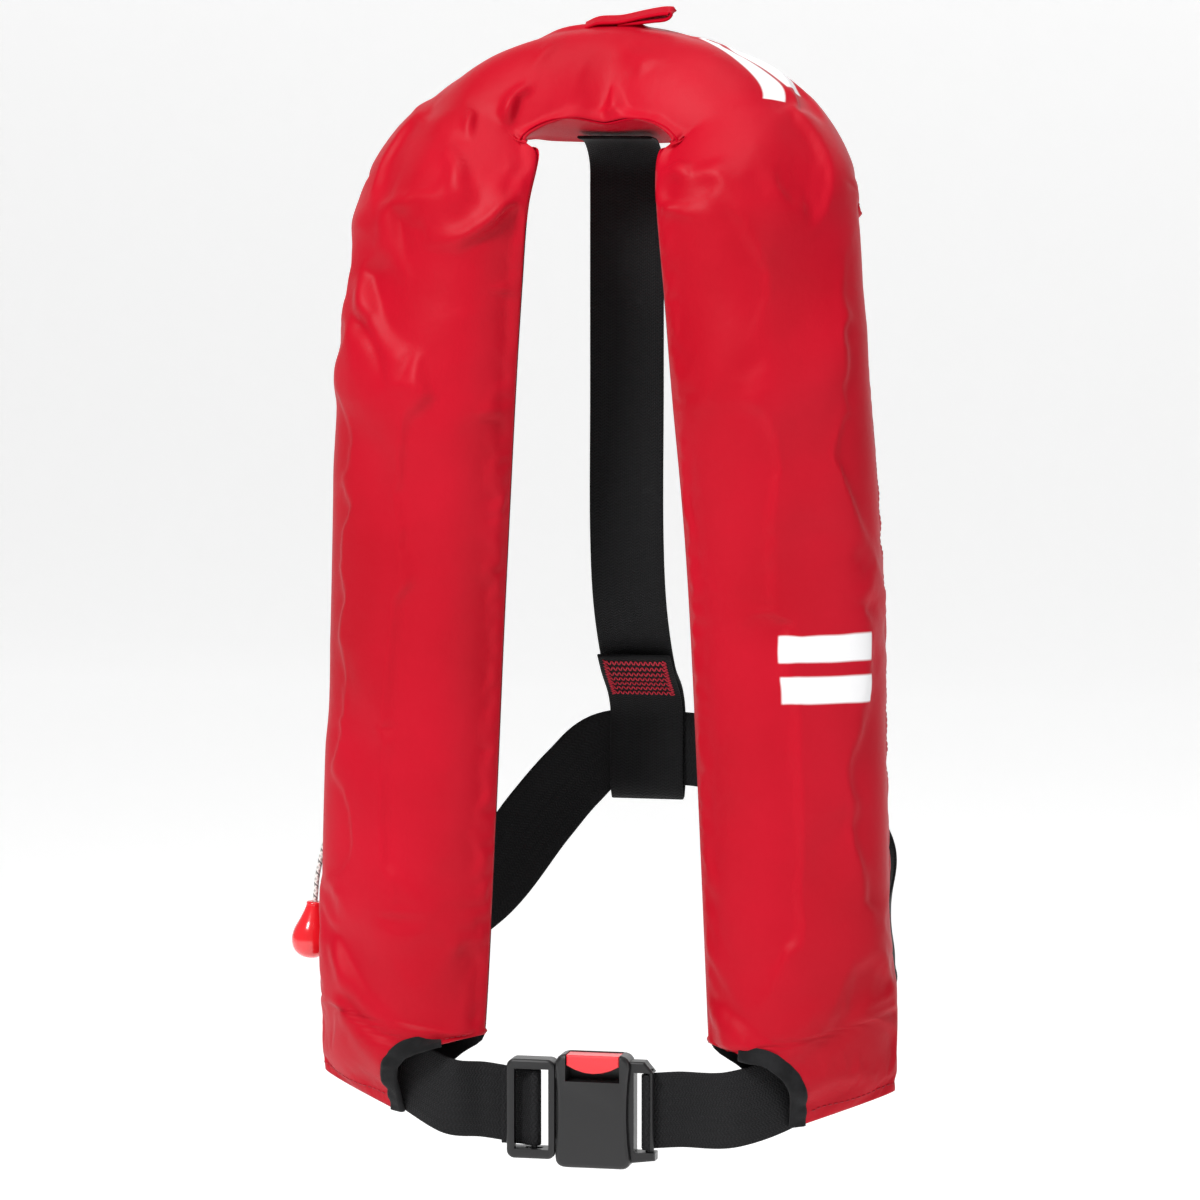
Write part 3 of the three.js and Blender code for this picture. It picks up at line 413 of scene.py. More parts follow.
nape_out = vec(0, math.cos(NAPE_SLOPE), -math.sin(NAPE_SLOPE))
nape_up = vec(0, math.sin(NAPE_SLOPE), math.cos(NAPE_SLOPE))
nape = nape_up * NAPE_THICK
left_stops = [
    stop(HEM_HALF_GAP, CHEST_Y, HEM_Z, HEM_HALF, 3, toe(27)),
    stop(HEM_HALF_GAP + 1, CHEST_Y, HEM_Z + 58, HEM_HALF + 0.5, DEEP - 1, toe(27)),
    stop(NECK_HALF_GAP + 7, CHEST_Y - 1, -228, LOBE_HALF, DEEP, toe(25)),
    stop(NECK_HALF_GAP, CHEST_Y - 8, -126, LOBE_HALF + 1.3, DEEP, toe(25)),
    stop(NECK_HALF_GAP - 1, CHEST_Y - 2, -77, LOBE_HALF + 2.6, DEEP, toe(33)),
    stop(NECK_HALF_GAP - 2, CHEST_Y + 8, -27, LOBE_HALF + 5, DEEP, toe(43)),
    (vec(75, -15, 3), (LOBE_HALF + NAPE_HALF) / 2 + 6, DEEP + 1, vec(0.62, 0.7, -0.28)),
    (vec(45, nape[1] - 11, nape[2] - 3), NAPE_HALF + 5, NAPE_THICK - 4, vec(0.36, 0.85, -0.2)),
]


def across_the_middle(item):
    at, half, thick, out = item
    return (at * vec(-1, 1, 1), half, thick, out * vec(-1, 1, 1))


stops = [*left_stops, (nape, NAPE_HALF, NAPE_THICK, nape_out), *map(across_the_middle, reversed(left_stops))]
LAST = len(stops) - 1


def catmull(points, number):
    """A point on the smooth curve through points, at a stop number that need not be whole."""
    i = min(int(number), len(points) - 2)
    t = number - i
    p1, p2 = points[i], points[i + 1]
    p0 = points[i - 1] if i > 0 else 2 * p1 - p2
    p3 = points[i + 2] if i + 2 < len(points) else 2 * p2 - p1
    return p1 + 0.5 * t * (p2 - p0 + t * (2 * p0 - 5 * p1 + 4 * p2 - p3 + t * (3 * (p1 - p2) + p3 - p0)))


centres = [s[0] for s in stops]
outs = [s[3] for s in stops]
sizes = [vec(s[1], s[2]) for s in stops]


class Band:
    """The cloth's own axes at one place along the horseshoe."""

    def __init__(self, number):
        self.number = number
        self.at = catmull(centres, number)
        step = 1e-3
        ahead = catmull(centres, min(number + step, LAST))
        along = unit(ahead - catmull(centres, max(number - step, 0)))
        out = catmull(outs, number)
        self.out = unit(out - along * out.dot(along))
        self.face = unit(np.cross(self.out, along))
        self.half, self.thick = catmull(sizes, number)
        self.side = 1 if number < LAST / 2 else -1
        self.upward = along * self.side
        near_hem = min(number, LAST - number) < 3
        self.above_hem = self.at[2] - HEM_Z if near_hem else 1e9

    def point(self, q, h):
        """q across the band, neck side negative; h out of its face."""
        fade = min(max(1 - self.above_hem / 130, 0), 1)
        return self.at + self.out * q + self.face * h + self.upward * (HEM_SLOPE * q * fade)

    def crown(self, angle, inset=0.0):
        c = math.cos(angle)
        power = NECK_SIDE_POWER if c > 0 else CROWN_POWER
        q = -math.copysign(abs(c) ** power, c) * (self.half - inset)
        return q, abs(math.sin(angle)) ** power * (2 * self.thick - inset) - self.thick

    def angle(self, q):
        share = min(abs(q) / self.half, 1) ** (1 / (NECK_SIDE_POWER if q < 0 else CROWN_POWER))
        return math.acos(-math.copysign(share, q))


def number_at(side, z):
    low, high = 0.0, 5.0
    for _ in range(40):
        mid = (low + high) / 2
        if catmull(centres, mid)[2] < z:
            low = mid
        else:
            high = mid
    return low if side > 0 else LAST - low


# Evenly spaced places along the centre line.
fine = np.linspace(0, LAST, 1601)
track = np.array([catmull(centres, n) for n in fine])
length_along = np.concatenate([[0], np.cumsum(np.linalg.norm(np.diff(track, axis=0), axis=1))])
CLOTH_LENGTH = float(length_along[-1])


def number_after(distance):
    return float(np.interp(distance, length_along, fine))


print("cloth length", round(CLOTH_LENGTH), "mm")

# %% [markdown]
# ## Building cloth from rows
# A sheet is a grid of points: rows run along it and columns across. The grid carries its own map in
# metres, so a weave keeps its size whatever shape the cloth takes.

# %% Mesh helpers
def finish_mesh(name, points, faces, uvs, material, body="jacket", smooth=True):
    mesh = bpy.data.meshes.new(name)
    mesh.from_pydata([tuple(p) for p in points], [], faces)
    layer = mesh.uv_layers.new(name="cloth")
    flat = np.zeros((len(mesh.loops), 2))
    for face in mesh.polygons:
        for loop in face.loop_indices:
            flat[loop] = uvs[mesh.loops[loop].vertex_index]
    layer.uv.foreach_set("vector", flat.astype(np.float32).ravel())
    mesh.polygons.foreach_set("use_smooth", [smooth] * len(mesh.polygons))
    mesh.materials.append(material)
    piece = bpy.data.objects.new(name, mesh)
    bpy.context.collection.objects.link(piece)
    if body:
        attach(piece, body)
    return piece


def grid_faces(rows, columns, wrap=False):
    faces = []
    for i in range(rows - 1):
        for j in range(columns if wrap else columns - 1):
            k = (j + 1) % columns
            faces.append((i * columns + j, i * columns + k, (i + 1) * columns + k, (i + 1) * columns + j))
    return faces


def cloth_map(grid):
    """Distance along and across a grid of points, in the grid's own unit."""
    down = np.linalg.norm(np.diff(grid, axis=0), axis=2).mean(1)
    side = np.linalg.norm(np.diff(grid, axis=1), axis=2).mean(0)
    u = np.concatenate([[0], np.cumsum(down)])
    v = np.concatenate([[0], np.cumsum(side)])
    v = v - v[-1] / 2
    return np.stack(np.meshgrid(u, v, indexing="ij"), 2)


def sheet(name, grid, material, thickness=0.0, body="jacket", subdivide=0, laid=None):
    """A cloth from a grid in millimetres, with its thickness grown inward; laid is its map."""
    rows, columns = grid.shape[:2]
    uvs = (cloth_map(grid) if laid is None else laid).reshape(-1, 2) * MM
    piece = finish_mesh(name, grid.reshape(-1, 3) * MM, grid_faces(rows, columns), uvs, material, body)
    if thickness:
        grow = piece.modifiers.new("thickness", "SOLIDIFY")
        grow.thickness = thickness * MM
        grow.offset = -1
    if subdivide:
        smooth = piece.modifiers.new("smooth", "SUBSURF")
        smooth.levels = smooth.render_levels = subdivide
    return piece


def normals_of(grid):
    du = np.gradient(grid, axis=0)
    dv = np.gradient(grid, axis=1)
    n = np.cross(dv, du)
    return n / np.maximum(np.linalg.norm(n, axis=2, keepdims=True), 1e-9)


def smoothstep(x, low, high):
    t = np.clip((x - low) / (high - low), 0, 1)
    return t * t * (3 - 2 * t)


# %% [markdown]
# ## The cover's plain shape
# Each row goes from the seam at the neck over the crown to the outer seam. At the two inner corners of
# the hem the cloth is cut away in a quarter round, where the waist belt comes out.

# %% The cover at rest
MOUTH_WIDE = 40
MOUTH_HIGH = 46
SLIT_HALF = 46
SLIT_RISE = 9
SLIT_Z = HEM_Z + 204 - 58
COVER_ROWS = 340
COVER_COLUMNS = 52


def mouth_edge(band):
    if band.above_hem >= MOUTH_HIGH:
        return -band.half
    return -band.half + MOUTH_WIDE * math.sqrt(1 - (band.above_hem / MOUTH_HIGH) ** 2)


def seam_angle(band):
    away = abs(band.at[2] - SLIT_Z) / SLIT_HALF
    if band.side > 0 or away >= 1:
        return math.pi
    rise = SLIT_RISE * math.sqrt(1 - away**2)
    return math.pi - math.asin((rise / (2 * band.thick)) ** (1 / CROWN_POWER))


bands = [Band(number_after(d)) for d in np.linspace(0, CLOTH_LENGTH, COVER_ROWS)]


def plain_cover():
    rows = []
    for band in bands:
        first, last = band.angle(mouth_edge(band)), seam_angle(band)
        # Equal steps of arc keep the faces even round the crown.
        angles = np.linspace(first, last, 200)
        line = np.array([band.point(*band.crown(a)) for a in angles])
        arc = np.concatenate([[0], np.cumsum(np.linalg.norm(np.diff(line, axis=0), axis=1))])
        even = np.linspace(0, arc[-1], COVER_COLUMNS)
        rows.append(np.stack([np.interp(even, arc, line[:, k]) for k in range(3)], 1))
    return np.array(rows)


def even_corners(grid, times):
    """Draws out the rows that crowd together at the two inner corners of the neck."""
    spread = (np.abs(grid[..., 0]) - 43) ** 2 + (grid[..., 2] - 16) ** 2
    near = np.exp(-((spread / 24**2) ** 1.5))[..., None]
    for _ in range(times):
        calmer = grid.copy()
        calmer[1:-1] = (grid[:-2] + grid[2:]) / 2
        calmer[:, 1:-1] = (calmer[:, 1:-1] * 2 + grid[:, :-2] + grid[:, 2:]) / 4
        grid = grid + 0.6 * near * (calmer - grid)
    return grid


cover = even_corners(plain_cover(), 70)
cover_map = cloth_map(cover)
print("cover", cover.shape, "widest", round(float(np.ptp(cover_map[..., 1]))), "mm across")

# %% [markdown]
# ## Folds and the cloth simulation
# The cloth is cut a little long so that it can spread over the bladder when it fires; packed, that
# slack stands in creases. A short cloth simulation with the seams pinned lets the slack buckle softly.
# The big creases are then set one by one, as valleys with a raised lip.

# %% Folds
# Each fold runs from one place on the front to another: sideways and up from the origin, then the half
# width of its slope and its depth, all in millimetres. A negative depth is a raised fold.
FOLDS = [
    # pinches on the wearer's right lobe, below the neck
    (-38, -38, -70, -66, 6, 7.0), (-42, -58, -56, -69, 5, 4.5), (-42, -80, -68, -68, 5, 5.5),
    (-112, -70, -76, -106, 9, 7.0), (-42, -84, -76, -106, 8, 6.0), (-76, -106, -68, -130, 7, 3.5),
    (-124, -48, -74, -10, 13, -3.4), (-70, -3, -52, -32, 6, 5.0), (-96, -40, -84, -70, 8, 3.0),
    (-52, -112, -74, -138, 6, 3.4), (-118, -92, -100, -122, 9, 3.2), (-44, -140, -62, -152, 6, 2.6),
    # the bend behind the neck
    (-24, 44, -30, -4, 7, 8.0), (-60, 13, -46, -12, 6, 6.0), (-62, 16, -26, 34, 9, 5.0),
    (-40, 20, -36, 0, 6, 4.0),
    (-8, 38, -2, 12, 6, 5.5), (8, 28, 22, 4, 7, 7.0), (24, 34, 20, 6, 6, 5.5), (40, 30, 34, 8, 7, 5.0),
    (30, -12, 72, -6, 7, 6.5), (34, 6, 60, 16, 8, 4.0), (36, -30, 62, -24, 6, 3.6),
    (-90, 10, -60, 34, 10, 3.4),
    (10, 46, 40, 40, 7, 3.0), (56, 30, 84, 8, 12, 2.6),
    # long soft drags
    (134, -34, 62, -110, 24, 4.6), (146, -112, 74, -166, 19, 3.0), (120, -190, 84, -240, 22, 1.6),
    (66, -330, 104, -380, 18, 1.6), (132, -330, 112, -390, 14, 1.6), (58, -424, 106, -458, 11, 2.0),
    (126, -430, 98, -462, 11, 1.8), (-134, -134, -94, -210, 20, 2.8), (-54, -224, -80, -310, 14, 2.0),
    (-132, -262, -104, -320, 16, 2.0), (-70, -366, -100, -424, 12, 2.4),
    (-132, -400, -70, -448, 9, 4.6), (-128, -430, -86, -454, 7, 3.2), (-62, -404, -84, -436, 7, 2.6),
]


def fold_depth(grid):
    """How far each point of the cover sinks, from the list of folds."""
    depth = np.zeros(grid.shape[:2])
    for x0, z0, x1, z1, wide, deep in FOLDS:
        start, way = vec(x0, z0), vec(x1 - x0, z1 - z0)
        reach = np.linalg.norm(way)
        way = way / reach
        dx, dz = grid[..., 0] - start[0], grid[..., 2] - start[1]
        s = (dx * way[0] + dz * way[1]) / reach
        bend = 0.09 * reach * np.sin(np.pi * np.clip(s, 0, 1)) * (1 if x0 % 4 else -1)
        x = dx * way[1] - dz * way[0] + bend
        fade = smoothstep(s, -0.15, 0.12) * (1 - smoothstep(s, 0.55, 1.2))
        width = wide * (0.6 + 0.8 * np.clip(s, 0, 1))
        if wide > 11:
            depth += deep * fade * np.exp(-((x / width) ** 2))
            continue
        # A crease is a flat slope that ends in a steep wall. Its bottom is as round as the cloth is
        # thick.
        steep = np.where(x > 0, 0.42, 2.1) * width
        valley = np.exp(-((np.sqrt(x**2 + 1.6) - 1.2) / steep) ** 1.2)
        lip = np.exp(-(((x - 1.5 * width) / (0.9 * width)) ** 2))
        depth += deep * fade * (1.5 * valley - 0.5 * lip)
    # Only the front is creased like this: the back of the collar keeps what the simulation gives it.
    return depth * (1 - smoothstep(grid[..., 1], 2, 16))


def settle(name, grid, slack, frames, cap, pressure, pinned):
    """Cloth simulation of a grid whose edge points stay put; returns where its points end up."""
    rows, columns = grid.shape[:2]
    piece = finish_mesh(name, grid.reshape(-1, 3) * MM, grid_faces(rows, columns),
                        np.zeros((rows * columns, 2)), red_cloth_plain, None)
    group = piece.vertex_groups.new(name="sewn")
    flat = pinned.reshape(-1)
    for weight in np.unique(flat[flat > 0]):
        group.add([int(i) for i in np.flatnonzero(flat == weight)], float(weight), "REPLACE")
    cloth = piece.modifiers.new("cloth", "CLOTH")
    cloth.settings.vertex_group_mass = "sewn"
    cloth.settings.quality = 5
    cloth.settings.mass = 0.15
    cloth.settings.tension_stiffness = 25
    cloth.settings.compression_stiffness = 25
    cloth.settings.shear_stiffness = 12
    cloth.settings.bending_stiffness = 0.6
    cloth.settings.shrink_min = -slack
    cloth.settings.use_pressure = True
    cloth.settings.uniform_pressure_force = pressure
    cloth.settings.effector_weights.gravity = 0
    cloth.collision_settings.use_self_collision = False
    cloth.collision_settings.use_collision = False
    scene = bpy.context.scene
    cloth.point_cache.frame_start, cloth.point_cache.frame_end = 1, frames
    for number in range(1, frames + 1):
        scene.frame_set(number)
    ready = piece.evaluated_get(bpy.context.evaluated_depsgraph_get()).to_mesh()
    ended = np.empty(rows * columns * 3)
    ready.vertices.foreach_get("co", ended)
    scene.frame_set(1)
    bpy.data.objects.remove(piece)
    moved = ended.reshape(grid.shape) / MM - grid
    far = np.linalg.norm(moved, axis=2, keepdims=True)
    return grid + moved * np.minimum(1, cap / np.maximum(far, 1e-9))


def hold_clear(grid, plain, inward, outward):
    """Keeps a settled grid within its limits in front of and behind the plain one."""
    out = -normals_of(plain)
    if out[170, 26].dot(Band(number_after(CLOTH_LENGTH / 2)).face) < 0:
        out = -out
    moved = grid - plain
    rise = (moved * out).sum(2)
    held = np.where(rise < 0, -inward * np.tanh(-rise / inward), outward * np.tanh(rise / outward))
    return grid + out * (held - rise)[..., None]


def refine(grid, times):
    """More rows and columns on the same smooth surface."""
    for axis in (0, 1):
        count = grid.shape[axis]
        at = np.linspace(0, count - 1, (count - 1) * times + 1)
        i = np.minimum(at.astype(int), count - 2)
        t = (at - i).reshape([-1, 1, 1] if axis == 0 else [1, -1, 1])
        p1, p2 = np.take(grid, i, axis), np.take(grid, i + 1, axis)
        p0 = np.take(grid, np.maximum(i - 1, 0), axis)
        p3 = np.take(grid, np.minimum(i + 2, count - 1), axis)
        grid = p1 + 0.5 * t * (p2 - p0 + t * (2 * p0 - 5 * p1 + 4 * p2 - p3 + t * (3 * (p1 - p2) + p3 - p0)))
    return grid


def soften(grid, times, weight=0.5):
    """Averages each inner point with its neighbours."""
    for _ in range(times):
        inner = (grid[:-2, 1:-1] + grid[2:, 1:-1] + grid[1:-1, :-2] + grid[1:-1, 2:]) / 4
        grid = grid.copy()
        grid[1:-1, 1:-1] += weight * (inner - grid[1:-1, 1:-1])
    return grid


edge = np.zeros(cover.shape[:2])
edge[:, [0, -1]] = 1
edge[:, [1, -2]] = 0.6
edge[[0, -1], :] = 1

# How far the cloth may sink: least over the inflator and the oral tube, whose backs fill the cover.
share = np.linspace(0, 1, COVER_COLUMNS)[None, :]
height = np.array([band.at[2] for band in bands])[:, None]
wearers_side = np.array([band.side for band in bands])[:, None]
inner_part = smoothstep(share, 0.22, 0.34)
over_inflator = (wearers_side < 0) * inner_part * smoothstep(height, -400, -375)
over_inflator = over_inflator * (1 - smoothstep(height, -130, -105))
over_tube = (wearers_side > 0) * smoothstep(share, 0.4, 0.55) * smoothstep(height, -290, -270)
over_tube = over_tube * (1 - smoothstep(height, -90, -60))
# The lever swings out towards the outer seam when the cord is pulled.
over_lever = (wearers_side < 0) * smoothstep(share, 0.5, 0.62) * smoothstep(height, -400, -380)
over_lever = over_lever * (1 - smoothstep(height, -310, -285))
room = 9.0 - 6.6 * np.maximum(over_inflator, 0.6 * over_tube) - 1.7 * over_lever

settled = cover
settled = settle("cover_settling", cover, 0.03, 18, 5.0, 0.25, edge)
settled = soften(settled, 1)
settled = hold_clear(settled, cover, np.minimum(room, 3.5), 1.2)


# The sharp creases go on afterwards, on a finer grid.
REFINE = 2


def creased():
    grid = refine(settled, REFINE)
    plain = refine(cover, REFINE)
    rows, columns = grid.shape[:2]
    lines = np.minimum(np.arange(columns), np.arange(columns)[::-1]) / (3 * REFINE)
    ends = np.minimum(np.arange(rows), np.arange(rows)[::-1]) / (3 * REFINE)
    calm = smoothstep(lines, 0, 1)[None, :] * smoothstep(ends, 0, 1)[:, None]
    out = -normals_of(plain)
    if out[340, 52].dot(Band(number_after(CLOTH_LENGTH / 2)).face) < 0:
        out = -out
    grid = grid - out * (fold_depth(plain) * calm)[..., None]
    return hold_clear(grid, plain, refine(room[..., None] * np.ones((1, 1, 3)), REFINE)[..., 0], 3.2)


folded = creased()
COVER_ROWS, COVER_COLUMNS = folded.shape[:2]


def cover_layout():
    """Along the cover on average, and across it from the outer seam, which runs unbroken to the hem."""
    laid = cloth_map(refine(cover, REFINE))
    steps = np.linalg.norm(np.diff(refine(cover, REFINE), axis=1), axis=2)
    to_seam = np.concatenate([np.cumsum(steps[:, ::-1], axis=1)[:, ::-1], np.zeros((COVER_ROWS, 1))], 1)
    laid[..., 1] = laid[..., 1].max() - to_seam
    return laid


cover_map = cover_layout()
bands = [Band(number_after(d)) for d in np.linspace(0, CLOTH_LENGTH, COVER_ROWS)]
print("cloth grid", folded.shape[:2])

# %% [markdown]
# ## Marks on the cloth
# The printed marks are plain shapes: two stripes at the shoulder and two at the chest.

# %% The cover
def printed(board, along, across):
    ink = bar(along, across, (0.252, 0.004), 0.02, 0.0065, 0.027)
    ink = ink.most(bar(along, across, (0.232, 0.004), 0.02, 0.0065, 0.027))
    ink = ink.most(bar(along, across, (0.553, -0.006), 0.35, 0.026, 0.0065))
    ink = ink.most(bar(along, across, (0.560, 0.014), 0.35, 0.026, 0.0065))
    return ink


red_cloth = coated_red("red_cloth", printed)
cover_piece = sheet("cover_cloth", folded, red_cloth, 1.4, laid=cover_map)
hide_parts("front_cover")
print("cover faces", len(cover_piece.data.polygons))

# %% [markdown]
# ## The lining
# The wearer's side is a flat black cloth, sewn to the cover all round.

# %% Lining
def lining_grid():
    rows = []
    for band in bands[::4]:
        start = max(-band.half, mouth_edge(band) - 12)
        rows.append([band.point(q, -band.thick - 1.2) for q in np.linspace(start, band.half, 22)])
    grid = np.array(rows)
    rng = np.random.default_rng(4)
    calm_edge = np.clip(np.minimum(np.arange(22), np.arange(22)[::-1]) / 3, 0, 1)[None, :]
    wave = np.zeros(grid.shape[:2])
    u, v = np.meshgrid(np.arange(grid.shape[0]), np.arange(22), indexing="ij")
    for _ in range(14):
        fu, fv, phase = rng.uniform(0.04, 0.22), rng.uniform(-0.35, 0.35), rng.uniform(0, 6.3)
        wave += np.sin(u * fu + v * fv + phase) * rng.uniform(0.1, 0.45)
    return grid + normals_of(grid) * (wave * calm_edge)[..., None]


lining_rows = even_corners(lining_grid(), 5)[:, ::-1]
lining_piece = sheet("lining", lining_rows, lining, 0.9, subdivide=1)
# Behind the neck the inside is the same red cloth as the cover.
lining_piece.data.materials.append(red_cloth_plain)
numbers = np.array([band.number for band in bands[::4]])
for face in lining_piece.data.polygons:
    row = min(face.vertices) // 22
    if abs(numbers[row] - LAST / 2) < 3.2:
        face.material_index = 1
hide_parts("back_panel")

# %% [markdown]
# ## The folded bladder
# Inside lies the yellow bladder, rolled flat. It follows the cover's inside, so it is the same grid moved
# inward, and it stops short of the inflator on the wearer's right.

# %% Bladder
def bladder_grid():
    inner = normals_of(folded)
    if inner[COVER_ROWS // 2, COVER_COLUMNS // 2].dot(nape_up) > 0:
        inner = -inner
    under = folded + inner * 3.4
    rows = []
    for i in range(int(0.12 * COVER_ROWS), int(0.88 * COVER_ROWS), 3):
        behind_neck = float(1 - smoothstep(abs(bands[i].number - LAST / 2), 2.6, 3.6))
        low = (0.10 + 0.26 * behind_neck) * COVER_COLUMNS
        at = np.linspace(low, low + 0.16 * COVER_COLUMNS, 9)
        rows.append([[np.interp(c, np.arange(COVER_COLUMNS), under[i, :, k]) for k in range(3)] for c in at])
        rows[-1] = np.array(rows[-1]) + inner[i, int(low)] * 3 * behind_neck
    return np.array(rows)


bladder_piece = sheet("folded_bladder", bladder_grid(), bladder_coating, 0.6)
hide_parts("bladder")

# %% [markdown]
# ## Straps
# Webbing is a flat ribbon with rounded edges. It is swept along a smooth curve through a few stops,
# each with the direction that lies across the ribbon there.

# %% Ribbons and tubes
def spline(stops, step):
    """Even points on a centripetal curve through the stops, which may carry more than three numbers."""
    p = np.array(stops, float)
    p = np.vstack([2 * p[0] - p[1], p, 2 * p[-1] - p[-2]])
    found = []
    for i in range(1, len(p) - 2):
        t = [0.0]
        for a, b in ((i - 1, i), (i, i + 1), (i + 1, i + 2)):
            t.append(t[-1] + max(np.linalg.norm(p[b][:3] - p[a][:3]), 1e-6) ** 0.5)
        for x in np.linspace(t[1], t[2], 24, endpoint=False):
            a1 = ((t[1] - x) * p[i - 1] + x * p[i]) / t[1]
            a2 = ((t[2] - x) * p[i] + (x - t[1]) * p[i + 1]) / (t[2] - t[1])
            a3 = ((t[3] - x) * p[i + 1] + (x - t[2]) * p[i + 2]) / (t[3] - t[2])
            b1 = ((t[2] - x) * a1 + x * a2) / t[2]
            b2 = ((t[3] - x) * a2 + (x - t[1]) * a3) / (t[3] - t[1])
            found.append(((t[2] - x) * b1 + (x - t[1]) * b2) / (t[2] - t[1]))
    found.append(p[-2])
    found = np.array(found)
    run = np.concatenate([[0], np.cumsum(np.linalg.norm(np.diff(found[:, :3], axis=0), axis=1))])
    count = max(int(run[-1] / step), 8)
    even = np.linspace(0, run[-1], count + 1)
    return np.stack([np.interp(even, run, found[:, k]) for k in range(found.shape[1])], 1)


def ribbon(name, stops, width, thick, material, body="jacket", step=2.5, cup=0.0):
    """stops: (x, y, z, ux, uy, uz), the last three lying across the ribbon."""
    line = spline(stops, step)
    at, up = line[:, :3], line[:, 3:]
    way = np.gradient(at, axis=0)
    way /= np.linalg.norm(way, axis=1, keepdims=True)
    up = up - way * (up * way).sum(1, keepdims=True)
    up /= np.linalg.norm(up, axis=1, keepdims=True)
    out = np.cross(way, up)
    half, r = width / 2, thick / 2
    section = []
    top = np.linspace(-half + r, half - r, 9)
    for a in np.linspace(math.pi * 1.5, math.pi / 2, 5):
        section.append((-half + r + r * math.cos(a) * 1.0, r * math.sin(a)))
    section += [(w, r) for w in top[1:-1]]
    for a in np.linspace(math.pi / 2, -math.pi / 2, 5):
        section.append((half - r + r * math.cos(a), r * math.sin(a)))
    section += [(w, -r) for w in top[::-1][1:-1]]
    section = np.array(section)
    n = len(section)
    bow = cup * (1 - (section[:, 0] / half) ** 2)
    bowed = section[None, :, 1:] + bow[None, :, None]
    points = at[:, None] + up[:, None] * section[None, :, :1] + out[:, None] * bowed
    run = np.concatenate([[0], np.cumsum(np.linalg.norm(np.diff(at, axis=0), axis=1))])
    uvs = np.stack(np.broadcast_arrays(run[:, None], section[None, :, 0]), 2)
    faces = grid_faces(len(at), n, wrap=True)
    faces += [tuple(range(n))[::-1], tuple(range((len(at) - 1) * n, len(at) * n))]
    return finish_mesh(name, points.reshape(-1, 3) * MM, faces, uvs.reshape(-1, 2) * MM, material, body)


def tube(name, line, radius, material, body="jacket", sides=12, join=None):
    """A round tube through even points; radius may be a list. join collects several into one piece."""
    line = np.asarray(line, float)
    way = np.gradient(line, axis=0)
    way /= np.maximum(np.linalg.norm(way, axis=1, keepdims=True), 1e-9)
    side = vec(0, 0, 1) if abs(way[0][2]) < 0.9 else vec(1, 0, 0)
    frames = []
    for w in way:
        side = unit(side - w * side.dot(w))
        frames.append((side, np.cross(w, side)))
    radii = np.broadcast_to(radius, len(line))
    turn = np.linspace(0, 2 * math.pi, sides, endpoint=False)
    points = np.array([p + r * (np.outer(np.cos(turn), a) + np.outer(np.sin(turn), b))
                       for p, r, (a, b) in zip(line, radii, frames)])
    run = np.concatenate([[0], np.cumsum(np.linalg.norm(np.diff(line, axis=0), axis=1))])
    uvs = np.stack(np.broadcast_arrays(run[:, None] * MM, turn[None, :]), 2).reshape(-1, 2)
    faces = grid_faces(len(line), sides, wrap=True)
    faces += [tuple(range(sides))[::-1], tuple(range((len(line) - 1) * sides, len(line) * sides))]
    if join is not None:
        start = len(join["points"])
        join["points"].extend(points.reshape(-1, 3) * MM)
        join["uvs"].extend(uvs)
        join["faces"].extend(tuple(i + start for i in f) for f in faces)
        return None
    return finish_mesh(name, points.reshape(-1, 3) * MM, faces, uvs, material, body)


def pile():
    return {"points": [], "uvs": [], "faces": []}


def from_pile(name, made, material, body="jacket"):
    return finish_mesh(name, made["points"], made["faces"], made["uvs"], material, body)


# %% [markdown]
# ## The back strap
# It is sewn under the collar, hangs down the back and is folded round the waist belt. The fold is
# closed by a red zigzag, sewn in rows.

# %% Back strap
WEB = 38
WEB_THICK = 1.5
STRAP_Y = 22
BELT_Y = 76
BELT_Z = HEM_Z + 169
FOLD = WEB_THICK + 2


def sewn(q):
    return nape_out * q + nape_up * -(0.6 + 1.2 + 1.3 + WEB_THICK / 2)


def flat_stop(y, z):
    return (0, y, z, 1, 0, 0)


strap_stops = [
    (*sewn(-8), 1, 0, 0), (*sewn(10), 1, 0, 0),
    flat_stop(STRAP_Y - 1, -16), flat_stop(STRAP_Y, -30), flat_stop(STRAP_Y, -50), flat_stop(STRAP_Y, -130),
    flat_stop(STRAP_Y, -205), flat_stop(STRAP_Y + 8, BELT_Z + 78), flat_stop(BELT_Y - 24, BELT_Z + 45),
    flat_stop(BELT_Y - 4, BELT_Z + 31), flat_stop(BELT_Y + FOLD - 0.4, BELT_Z + 20),
    flat_stop(BELT_Y + FOLD, BELT_Z), flat_stop(BELT_Y + FOLD, BELT_Z - 21),
    flat_stop(BELT_Y, BELT_Z - 27), flat_stop(BELT_Y - FOLD, BELT_Z - 21),
    flat_stop(BELT_Y - FOLD, BELT_Z), flat_stop(BELT_Y - FOLD - 0.4, BELT_Z + 18),
    flat_stop(BELT_Y - 9, BELT_Z + 27),
    flat_stop(BELT_Y - 27.4, BELT_Z + 41.6), flat_stop(BELT_Y - 37, BELT_Z + 51),
]
strap_piece = ribbon("back_webbing", strap_stops, WEB, WEB_THICK, webbing)
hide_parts("back_strap")

strap_line = spline(strap_stops, 1.0)[:, :3]
strap_run = np.arange(len(strap_line), dtype=float)


def on_fold(back, x):
    """A point on the front of the folded end, `back` millimetres from its tip."""
    i = len(strap_line) - 1 - back
    at = np.array([np.interp(i, strap_run, strap_line[:, k]) for k in range(3)])
    ahead = np.array([np.interp(i - 1, strap_run, strap_line[:, k]) for k in range(3)])
    out = unit(np.cross(vec(1, 0, 0), unit(ahead - at)))
    if out[1] > 0:
        out = -out
    return at + out * (WEB_THICK / 2 + 0.25) + vec(x, 0, 0)


